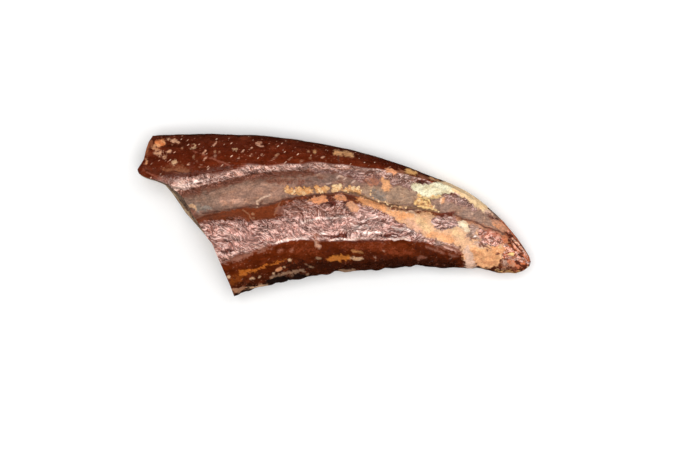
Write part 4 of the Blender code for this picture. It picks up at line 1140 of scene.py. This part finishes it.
def claw_faces():
    """The corners of every face of the closed claw, and how many of the faces are skin."""
    half = AROUND // 2
    first_inside = RINGS * AROUND
    pole = first_inside + CAP_ROWS * (half - 1)
    faces = []
    for ring in range(RINGS - 1):
        for column in range(AROUND):
            after = (column + 1) % AROUND
            near, far = ring * AROUND, (ring + 1) * AROUND
            faces.append((near + column, near + after, far + after, far + column))
    last = (RINGS - 1) * AROUND
    faces += [(last + column, last + (column + 1) % AROUND, pole) for column in range(AROUND)]
    skin_count = len(faces)

    def end(row, column):
        """A corner of the broken face: column 0 is the back, column half is the belly edge."""
        if column in (0, half) or row == 0:
            return column
        if row == CAP_ROWS + 1:
            return AROUND - column
        return first_inside + (row - 1) * (half - 1) + column - 1

    for row in range(CAP_ROWS + 1):
        for column in range(half):
            loop = (end(row, column), end(row + 1, column), end(row + 1, column + 1), end(row, column + 1))
            faces.append(tuple(dict.fromkeys(loop)))
    return faces, skin_count


def banded(places, table):
    """Values or linear colours interpolated between the entries of a (place, value) table."""
    stops, values = zip(*table)
    if isinstance(values[0], tuple):
        linear = np.array([srgb(*value) for value in values])
        return np.stack([np.interp(places, stops, channel) for channel in linear.T], axis=-1)
    return np.interp(places, stops, values)


def add_attribute(data, name, values, skin_count):
    """Stores numbers or colours on the skin's points and the tip's very end; the other points get zeros."""
    colours = values.ndim == 3
    kind, field, width = ("FLOAT_COLOR", "color", 4) if colours else ("FLOAT", "value", 1)
    stored = np.zeros((len(data.vertices), width), np.float32)
    stored[:skin_count] = values.reshape(-1, width)
    stored[-1] = values[-1].reshape(-1, width).mean(axis=0)
    data.attributes.new(name, kind, "POINT").data.foreach_set(field, stored.ravel())


def build_claw():
    """Makes the claw as one closed object, in metres, with its origin under the middle of its box."""
    grid, across, marks_at = skin_grid()
    layers, relief = painted_layers(grid, marks_at)
    wander = lumps(grid.reshape(-1, 3), (BAND_WANDER,)).reshape(across.shape)
    places = np.clip(across + wander, 0, len(LINES) - 1)
    crinkled = np.maximum(banded(places, CRINKLE), TIP_CRINKLE * smoothstep(*CRINKLED_TIP, grid[..., 0]))
    above = places < list(LINES).index("shoulder")
    shoulder = banded(grid[..., 0], CRINKLED_SHOULDER) * smoothstep(*SHOULDER_FROM, places) * above
    crinkled = np.maximum(crinkled, shoulder)
    skin = weathered(grid, relief, crinkled)
    inside, depths = broken_face(skin[0])
    tip = skin[-1].mean(axis=0)
    tip[0] = TIP_POLE
    points = np.concatenate((skin.reshape(-1, 3), inside.reshape(-1, 3), [tip]))
    low, high = points.min(axis=0), points.max(axis=0)
    shift = np.array([(low[0] + high[0]) / 2, (low[1] + high[1]) / 2, low[2]])
    faces, skin_faces = claw_faces()

    data = bpy.data.meshes.new("claw")
    data.from_pydata(((points - shift) * MM).tolist(), [], faces)
    skin_points = RINGS * AROUND
    ground = np.concatenate((banded(places, GROUND), banded(places, GROUND_ROUGHNESS)[..., None]), axis=-1)
    add_attribute(data, "ground", ground, skin_points)
    add_attribute(data, "crinkle", crinkled, skin_points)
    add_attribute(data, "grit", banded(places, GRIT), skin_points)
    add_attribute(data, "flecks", banded(places, FLECKS), skin_points)
    for layer, (colour, field) in layers.items():
        add_attribute(data, layer + "_paint", colour, skin_points)
        add_attribute(data, layer + "_field", field, skin_points)
    for column, name in enumerate(("under_rim", "from_rim")):
        stored = np.zeros(len(points), np.float32)
        stored[skin_points:-1] = depths[..., column].ravel()
        data.attributes.new(name, "FLOAT", "POINT").data.foreach_set("value", stored)
    indices = np.zeros(len(faces), np.int32)
    indices[skin_faces:] = 1
    data.materials.append(bone_material())
    data.materials.append(break_material())
    data.polygons.foreach_set("material_index", indices)
    data.shade_smooth()
    data.set_sharp_from_angle(angle=SHARP_ANGLE)
    claw = bpy.data.objects.new("claw", data)
    bpy.context.scene.collection.objects.link(claw)
    return claw, skin - shift


class Finish:
    """Builds one material's nodes by short calls. A value is a number, a colour or another node's output."""

    def __init__(self, name):
        self.material = bpy.data.materials.new(name)
        self.material.use_nodes = True
        self.tree = self.material.node_tree
        self.surface = self.tree.nodes["Principled BSDF"]
        place = self.node("ShaderNodeTexCoord").outputs["Object"]
        inputs = {0: place, 1: (1 / MM,) * 3}
        self.mm = self.node("ShaderNodeVectorMath", inputs, operation="MULTIPLY").outputs[0]
        self.along = self.node("ShaderNodeSeparateXYZ", {0: self.mm}).outputs[0]

    def put(self, socket, value):
        """Links an output to a socket, or sets the socket's value."""
        if isinstance(value, bpy.types.NodeSocket):
            self.tree.links.new(value, socket)
        else:
            socket.default_value = value

    def node(self, kind, inputs=None, **settings):
        """A new node with its settings and inputs."""
        node = self.tree.nodes.new(kind)
        for name, value in settings.items():
            setattr(node, name, value)
        for name, value in (inputs or {}).items():
            self.put(node.inputs[name], value)
        return node

    def attribute(self, name):
        """The node that reads a stored attribute."""
        return self.node("ShaderNodeAttribute", attribute_name=name)

    def stored(self, name):
        """A stored number."""
        return self.attribute(name).outputs["Fac"]

    def maths(self, operation, *values):
        """One number worked out from others."""
        return self.node("ShaderNodeMath", dict(enumerate(values)), operation=operation).outputs[0]

    def times(self, first, second):
        """The product of two numbers."""
        return self.maths("MULTIPLY", first, second)

    def added(self, value, share, start):
        """A number plus a share of another."""
        return self.maths("MULTIPLY_ADD", value, share, start)

    def unsettled(self, value, noise, reach):
        """A number moved up and down by noise."""
        return self.added(self.maths("SUBTRACT", noise, 0.5), reach, value)

    def span(self, value, low, high, to_low=0.0, to_high=1.0):
        """Maps low..high smoothly to to_low..to_high."""
        inputs = {"Value": value, "From Min": low, "From Max": high, "To Min": to_low, "To Max": to_high}
        return self.node("ShaderNodeMapRange", inputs, interpolation_type="SMOOTHSTEP").outputs[0]

    def blend(self, share, first, second):
        """Two numbers mixed."""
        node = self.node("ShaderNodeMix", data_type="FLOAT")
        for index, value in ((0, share), (2, first), (3, second)):
            self.put(node.inputs[index], value)
        return node.outputs[0]

    def mix(self, share, first, second, blend="MIX"):
        """Two colours mixed."""
        node = self.node("ShaderNodeMix", data_type="RGBA", blend_type=blend)
        for index, value in ((0, share), (6, first), (7, second)):
            self.put(node.inputs[index], value)
        return node.outputs[2]

    def tinted(self, colour, tint):
        """A colour multiplied by a tint."""
        return self.mix(1.0, colour, tint, "MULTIPLY")

    def shaded(self, colour, value, shades, levels=(0.25, 0.75)):
        """A colour multiplied by the shades, the first below the levels of the value and the second above."""
        shade = self.span(value, *levels, *shades)
        grey = self.node("ShaderNodeCombineColor", {0: shade, 1: shade, 2: shade})
        return self.tinted(colour, grey.outputs[0])

    def channel(self, colour, index):
        """One channel of a colour."""
        return self.node("ShaderNodeSeparateColor", {0: colour}).outputs[index]

    def warped(self, size, reach):
        """Places moved about by soft noise with features of this size, by up to about half the reach."""
        soft = self.node("ShaderNodeTexNoise", {"Vector": self.mm, "Scale": 1 / size, "Detail": 2.0})
        inputs = {0: soft.outputs["Color"], 1: (reach,) * 3, 2: self.mm}
        return self.node("ShaderNodeVectorMath", inputs, operation="MULTIPLY_ADD").outputs[0]

    def stretched(self, sizes, angle=0.0, places=None):
        """Places measured in features of these sizes, along axes turned by the angle."""
        scale = sizes if isinstance(sizes, tuple) else (sizes,) * 3
        inputs = {"Vector": places or self.mm, "Scale": scale, "Rotation": (0.0, 0.0, angle)}
        return self.node("ShaderNodeMapping", inputs, vector_type="TEXTURE").outputs[0]

    def noise(self, sizes, detail=2.0, roughness=0.5, angle=0.0, places=None, distortion=0.0):
        """Soft noise, 0..1."""
        inputs = {"Vector": self.stretched(sizes, angle, places), "Scale": 1.0, "Detail": detail,
                  "Roughness": roughness, "Distortion": distortion}
        return self.node("ShaderNodeTexNoise", inputs).outputs[0]

    def rippled(self, sizes, angle, places):
        """Distorted noise, 0..1, with long winding features."""
        return self.noise(sizes, angle=angle, places=places, distortion=FOLD_DISTORTION)

    def ridged(self, sizes, angle, width, places):
        """Thin winding ridges, 1 on their tops and 0 beside them."""
        off = self.maths("SUBTRACT", self.rippled(sizes, angle, places), 0.5)
        return self.span(self.maths("ABSOLUTE", off), width, 0.0)

    def cells(self, sizes, angle=0.0, feature="F1", places=None):
        """The Voronoi node of cells of these sizes."""
        inputs = {"Vector": self.stretched(sizes, angle, places), "Scale": 1.0}
        return self.node("ShaderNodeTexVoronoi", inputs, feature=feature)

    def spots(self, sizes, chosen, edge):
        """Spots in some of the cells: chosen spans their random numbers, edge the distance from a middle."""
        cell = self.cells(sizes)
        number = self.channel(cell.outputs["Color"], 0)
        return self.times(self.span(number, *chosen), self.span(cell.outputs["Distance"], *edge))

    def done(self, colour, roughness, height_mm):
        """Connects the colour, roughness and bump height, and returns the material."""
        bump = self.node("ShaderNodeBump", {"Height": height_mm, "Strength": 1.0, "Distance": MM})
        self.put(self.surface.inputs["Base Color"], colour)
        self.put(self.surface.inputs["Roughness"], roughness)
        self.put(self.surface.inputs["Normal"], bump.outputs[0])
        return self.material


def flecked(finish, colour, roughness):
    """Adds pale flecks that slant up over the back, one to each of some cells."""
    cell = finish.cells(FLECK_CELLS, FLECK_ANGLE)
    number, paleness, size = (finish.channel(cell.outputs["Color"], index) for index in range(3))
    breadth = finish.span(size, *FLECK_BREADTHS)
    spot = finish.span(finish.maths("SUBTRACT", cell.outputs["Distance"], breadth), *FLECK_EDGE)
    fleck = finish.times(finish.times(finish.span(number, *FLECKED), spot), finish.stored("flecks"))
    tone = finish.mix(paleness, *map(opaque, FLECK_COLOURS))
    colour = finish.mix(finish.times(fleck, FLECK_COVER), colour, tone)
    return colour, finish.blend(fleck, roughness, FLECK_ROUGHNESS)


def marked(finish, colour, roughness, warmth):
    """Adds the layers of marks with broken edges, and returns how far the larger ones cover the bone too."""
    unrest = finish.noise(*FINE_UNREST), finish.noise(*COARSE_UNREST)
    paleness = finish.noise(*PALENESS)
    covered = 0.0
    for layer, (_, _, reaches) in LAYERS.items():
        field = finish.stored(layer + "_field")
        for noise, reach in zip(unrest, reaches):
            field = finish.unsettled(field, noise, reach)
        shows = finish.span(field, *MARK_EDGE)
        stored = finish.attribute(layer + "_paint")
        tone = stored.outputs["Color"]
        tone = finish.mix(finish.span(warmth, *WARMED), tone, finish.tinted(tone, WARM_TINT))
        tone = finish.mix(finish.span(paleness, *PALED), tone, finish.tinted(tone, PALE_TINT))
        colour = finish.mix(shows, colour, tone)
        roughness = finish.blend(shows, roughness, stored.outputs["Alpha"])
        if layer != "fine":
            covered = finish.maths("MAXIMUM", shows, covered)
    return colour, roughness, covered


def crinkled(finish, colour, roughness, warmth):
    """Crinkles the polish along slanting folds, and paints highlights on their ridges and shade at their feet
    and in their gaps. Returns the colour and the folds' height.
    """
    polished = finish.span(roughness, *POLISHED)
    crinkle = finish.times(finish.stored("crinkle"), polished)
    place = finish.added(warmth, TURN_SPREAD, finish.along)
    turned = finish.span(place, *TURNS)
    bent = finish.warped(*FOLDS_BEND)
    folds = finish.blend(turned, *(finish.ridged(*fold, FOLD_WIDTH, bent) for fold in FOLDS))
    wrinkles = finish.blend(turned, *(finish.rippled(*wrinkle, bent) for wrinkle in WRINKLES))
    gaps = finish.ridged(*GAPS, GAP_WIDTH, bent)
    creases = finish.noise(*CREASES, CREASE_ANGLE)
    folded = finish.added(finish.span(wrinkles, *WRINKLED), WRINKLE_SHARE, folds)
    folded = finish.added(gaps, -GAP_DEPTH, folded)

    # Painted light and shade: lighter on the wrinkles' tops, darker at their feet, uneven by the crease
    # noise.
    lit_and_shaded_polish = finish.shaded(colour, wrinkles, WRINKLE_SHADES, WRINKLED)
    lit_and_shaded_polish = finish.shaded(lit_and_shaded_polish, creases, CREASE_SHADES, CREASED)
    # Painted highlights on the ridges, weaker in creases, stronger towards the tip, on light crinkled ground
    # only.
    lit = finish.times(finish.span(folded, *LIT_RIDGES), finish.span(creases, *LIT_CREASES))
    lit = finish.times(lit, finish.span(place, *LIVELIER))
    light = finish.node("ShaderNodeRGBToBW", {"Color": colour}).outputs[0]
    lit = finish.times(lit, finish.times(finish.span(light, *LIT_GROUND), finish.span(crinkle, *LIT_CRINKLE)))
    ridge = finish.mix(RIDGE_HIGHLIGHT_SHARE, finish.tinted(lit_and_shaded_polish, RIDGE_HIGHLIGHT_GAIN), opaque(RIDGE_HIGHLIGHT_COLOUR))
    lit_and_shaded_polish = finish.mix(lit, lit_and_shaded_polish, ridge)
    # Painted shade in the gaps between the folds.
    lit_and_shaded_polish = finish.mix(gaps, lit_and_shaded_polish, finish.tinted(lit_and_shaded_polish, GAP_SHADOW_TINT))
    return finish.mix(crinkle, colour, lit_and_shaded_polish), finish.times(folded, crinkle)


def bone_material():
    """Petrified bone: dark red-brown polish, crinkled where it bulges, under worn and cemented patches."""
    finish = Finish("petrified_bone")
    ground = finish.attribute("ground")
    colour, roughness = ground.outputs["Color"], ground.outputs["Alpha"]
    colour = finish.shaded(colour, finish.noise(*STREAKS), STREAK_SHADES)
    colour = finish.mix(finish.span(finish.noise(*PATCHES), *PATCHED), colour, opaque(PATCH_COLOUR))
    colour, roughness = flecked(finish, colour, roughness)
    warmth = finish.noise(*WARMTH)
    colour, roughness, covered = marked(finish, colour, roughness, warmth)

    # Small dark stains speckle the marks, and mineral mottling of two sizes lies over all of it.
    stains = finish.times(finish.spots(STAIN_CELLS, STAINED, STAIN_EDGE), finish.times(covered, STAIN_SHARE))
    colour = finish.mix(stains, colour, finish.tinted(colour, STAIN_TINT))
    mottling = finish.noise(*MOTTLING)
    colour = finish.shaded(colour, mottling, MOTTLE_SHADES)
    colour = finish.shaded(colour, finish.noise(*FINE_MOTTLING), MOTTLE_SHADES)

    # The rough sandy fill has small darker and paler grit, and specks where no mark covers it.
    gritty = finish.shaded(colour, finish.noise(*FILL), FILL_SHADES, FILL_LEVELS)
    colour = finish.mix(finish.span(roughness, *FILLED), colour, gritty)
    specks = finish.times(finish.spots(SPECK_CELLS, SPECKED, SPECK_EDGE), finish.span(covered, *SPECKS_BARE))
    colour = finish.mix(specks, colour, opaque(SPECK_COLOUR))

    colour, folded = crinkled(finish, colour, roughness, warmth)

    # Sand grains show where the groove is filled.
    grit = finish.stored("grit")
    grain = finish.cells(GRIT_CELLS)
    number = finish.channel(grain.outputs["Color"], 0)
    colour = finish.mix(grit, colour, finish.shaded(colour, number, GRIT_SHADES, (0.0, 1.0)))
    bed = finish.times(finish.maths("SUBTRACT", 1.0, grain.outputs["Distance"]), grit)

    height = finish.times(folded, CRINKLE_HEIGHT)
    height = finish.added(finish.noise(PORES), PORE_HEIGHT, height)
    height = finish.added(bed, GRIT_HEIGHT, height)
    roughness = finish.maths("ADD", roughness, finish.span(mottling, *ROUGHENED))
    finish.surface.inputs["IOR"].default_value = BONE_IOR
    finish.surface.inputs["Specular IOR Level"].default_value = GLOSS
    finish.surface.inputs["Specular Tint"].default_value = SHEEN_TINT
    return finish.done(colour, roughness, height)


def break_material():
    """The broken end: a painted shadow under the skin, an ochre cortex, and spongy bone with dark pores
    inside.
    """
    finish = Finish("broken_bone")
    ragged = finish.noise(*BREAK_RAGGED)
    inward = finish.unsettled(finish.stored("from_rim"), ragged, BREAK_WANDER)
    uneven = finish.warped(*SPONGE_BENDS)
    walls = []
    for size, wall in SPONGE:
        cell = finish.cells(size, feature="DISTANCE_TO_EDGE", places=uneven)
        walls.append(finish.span(cell.outputs["Distance"], *wall))
    tight = finish.noise(*TIGHTNESS)
    walls = finish.blend(finish.span(tight, *TIGHTENED), *walls)
    walls = finish.maths("MAXIMUM", walls, finish.span(finish.noise(*CLOGS), *CLOGGED))
    pore = finish.mix(ragged, *map(opaque, PORE_COLOURS))
    rusty = finish.mix(finish.span(ragged, *RUSTED), *map(opaque, RUST_COLOURS))
    sponge = finish.mix(walls, pore, finish.mix(tight, opaque(WALL_COLOUR), rusty))
    cortex = finish.mix(finish.span(ragged, *CORTEX_BLEND), *map(opaque, CORTEX_COLOURS))
    colour = finish.mix(finish.span(inward, *CORTEX_ENDS), cortex, sponge)
    # A painted shadow darkens the broken face just under its upper rim.
    dark = finish.span(finish.added(ragged, RIM_SHADOW_UNEVEN, finish.stored("under_rim")), *RIM_SHADOW_REACH)
    colour = finish.mix(dark, colour, opaque(RIM_SHADOW_COLOUR))
    fine = finish.noise(*BREAK_GRAIN)
    colour = finish.shaded(colour, fine, BREAK_SHADES)
    height = finish.added(walls, WALL_HEIGHT, finish.times(fine, BREAK_GRAIN_HEIGHT))
    return finish.done(colour, finish.span(fine, *BREAK_ROUGHNESS), height)


def grain_material():
    """Golden to pale sand grains, each of its own shade."""
    finish = Finish("sand_grain")
    colour = finish.mix(finish.span(finish.stored("tone"), 0.0, 1.0), *map(opaque, SAND_COLOURS))
    fine = finish.noise(*SAND_GRAIN)
    colour = finish.shaded(colour, fine, SAND_SHADES)
    return finish.done(colour, finish.span(fine, *SAND_ROUGHNESS), finish.times(fine, SAND_HEIGHT))


def grain_places():
    """Where the grains lie: (x, y, radius, paleness) of each, strewn along their runs."""
    draw = np.random.default_rng(GRAIN_SEED)
    places = []
    for count, radius, paleness, run in GRAIN_RUNS:
        points = np.array(run)
        along = np.linspace(0, len(points) - 1, count)
        for share in along:
            x, y = (np.interp(share, range(len(points)), axis) for axis in points.T)
            off = draw.normal(0.0, GRAIN_SPREAD / 2, 2)
            size = radius * draw.uniform(*GRAIN_SIZES)
            places.append((x + off[0], y + off[1], size, paleness + GRAIN_TONES * draw.uniform(-1, 1)))
    return places


def build_grains(skin):
    """Makes the cemented sand grains as one object, each sunk in the skin where it lies."""
    middle = skin[..., 2].max() / 2
    upper = skin[skin[..., 2] > middle]
    mesh = bmesh.new()
    tone = mesh.verts.layers.float.new("tone")
    draw = np.random.default_rng(GRAIN_SEED + 1)
    for x, y, radius, shade in grain_places():
        nearest = upper[np.argmin(np.hypot(upper[:, 0] - x, upper[:, 1] - y))]
        place = Vector((x, y, nearest[2] + radius * (1 - 2 * GRAIN_SUNK)))
        squash = Vector(draw.uniform(*GRAIN_SQUASH, 3))
        turn = Matrix.Rotation(draw.uniform(0, math.tau), 3, Vector(draw.normal(size=3)))
        apart = place * GRAIN_APART
        made = bmesh.ops.create_icosphere(mesh, subdivisions=3, radius=1.0)
        for vert in made["verts"]:
            uneven = sum(share * noise.noise(vert.co * pitch + apart) for pitch, share in GRAIN_LUMPS)
            ragged = 1 + GRAIN_RAGGED * uneven
            vert.co = (place + turn @ (vert.co * ragged * radius * squash)) * MM
            vert[tone] = shade
    data = bpy.data.meshes.new("groove_grains")
    mesh.to_mesh(data)
    mesh.free()
    data.materials.append(grain_material())
    data.shade_smooth()
    grains = bpy.data.objects.new("groove_grains", data)
    bpy.context.scene.collection.objects.link(grains)
    return grains


def build_floor():
    """A plain pale floor."""
    mesh = bmesh.new()
    bmesh.ops.create_grid(mesh, x_segments=1, y_segments=1, size=FLOOR_SIZE / 2)
    bmesh.ops.translate(mesh, verts=mesh.verts, vec=(0.0, 0.0, -FLOOR_BELOW))
    data = bpy.data.meshes.new("floor")
    mesh.to_mesh(data)
    mesh.free()
    material = bpy.data.materials.new("pale_floor")
    material.use_nodes = True
    surface = material.node_tree.nodes["Principled BSDF"]
    surface.inputs["Base Color"].default_value = FLOOR_COLOUR
    surface.inputs["Roughness"].default_value = FLOOR_ROUGHNESS
    data.materials.append(material)
    floor = bpy.data.objects.new("floor", data)
    floor.visible_glossy = False
    bpy.context.scene.collection.objects.link(floor)
    return floor


def build_light():
    """One large softbox over the claw, and dim light from the room."""
    lamp = bpy.data.lights.new("softbox", "AREA")
    lamp.shape = "SQUARE"
    lamp.size = BOX_SIZE
    lamp.energy = BOX_POWER
    box = bpy.data.objects.new("softbox", lamp)
    box.location = BOX_PLACE
    bpy.context.scene.collection.objects.link(box)
    world = bpy.data.worlds.new("room")
    world.use_nodes = True
    background = world.node_tree.nodes["Background"]
    background.inputs["Color"].default_value = ROOM_COLOUR
    background.inputs["Strength"].default_value = ROOM_LIGHT
    world.cycles_visibility.glossy = False
    bpy.context.scene.world = world


def build_camera():
    """A camera straight over the claw, with the back at the top of the picture."""
    lens = bpy.data.cameras.new("camera")
    lens.lens = LENS
    lens.sensor_width = SENSOR
    camera = bpy.data.objects.new("camera", lens)
    camera.location = (*PICTURE_MIDDLE, EDGE_HEIGHT + PICTURE_WIDTH * LENS / SENSOR)
    bpy.context.scene.collection.objects.link(camera)
    bpy.context.scene.camera = camera
    bpy.context.scene.view_settings.view_transform = "Standard"


claw, skin = build_claw()
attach(claw, "root")
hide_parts("fossil_claw")
grains = build_grains(skin)
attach(grains, "root")
build_floor()
build_light()
build_camera()

bpy.context.view_layer.update()
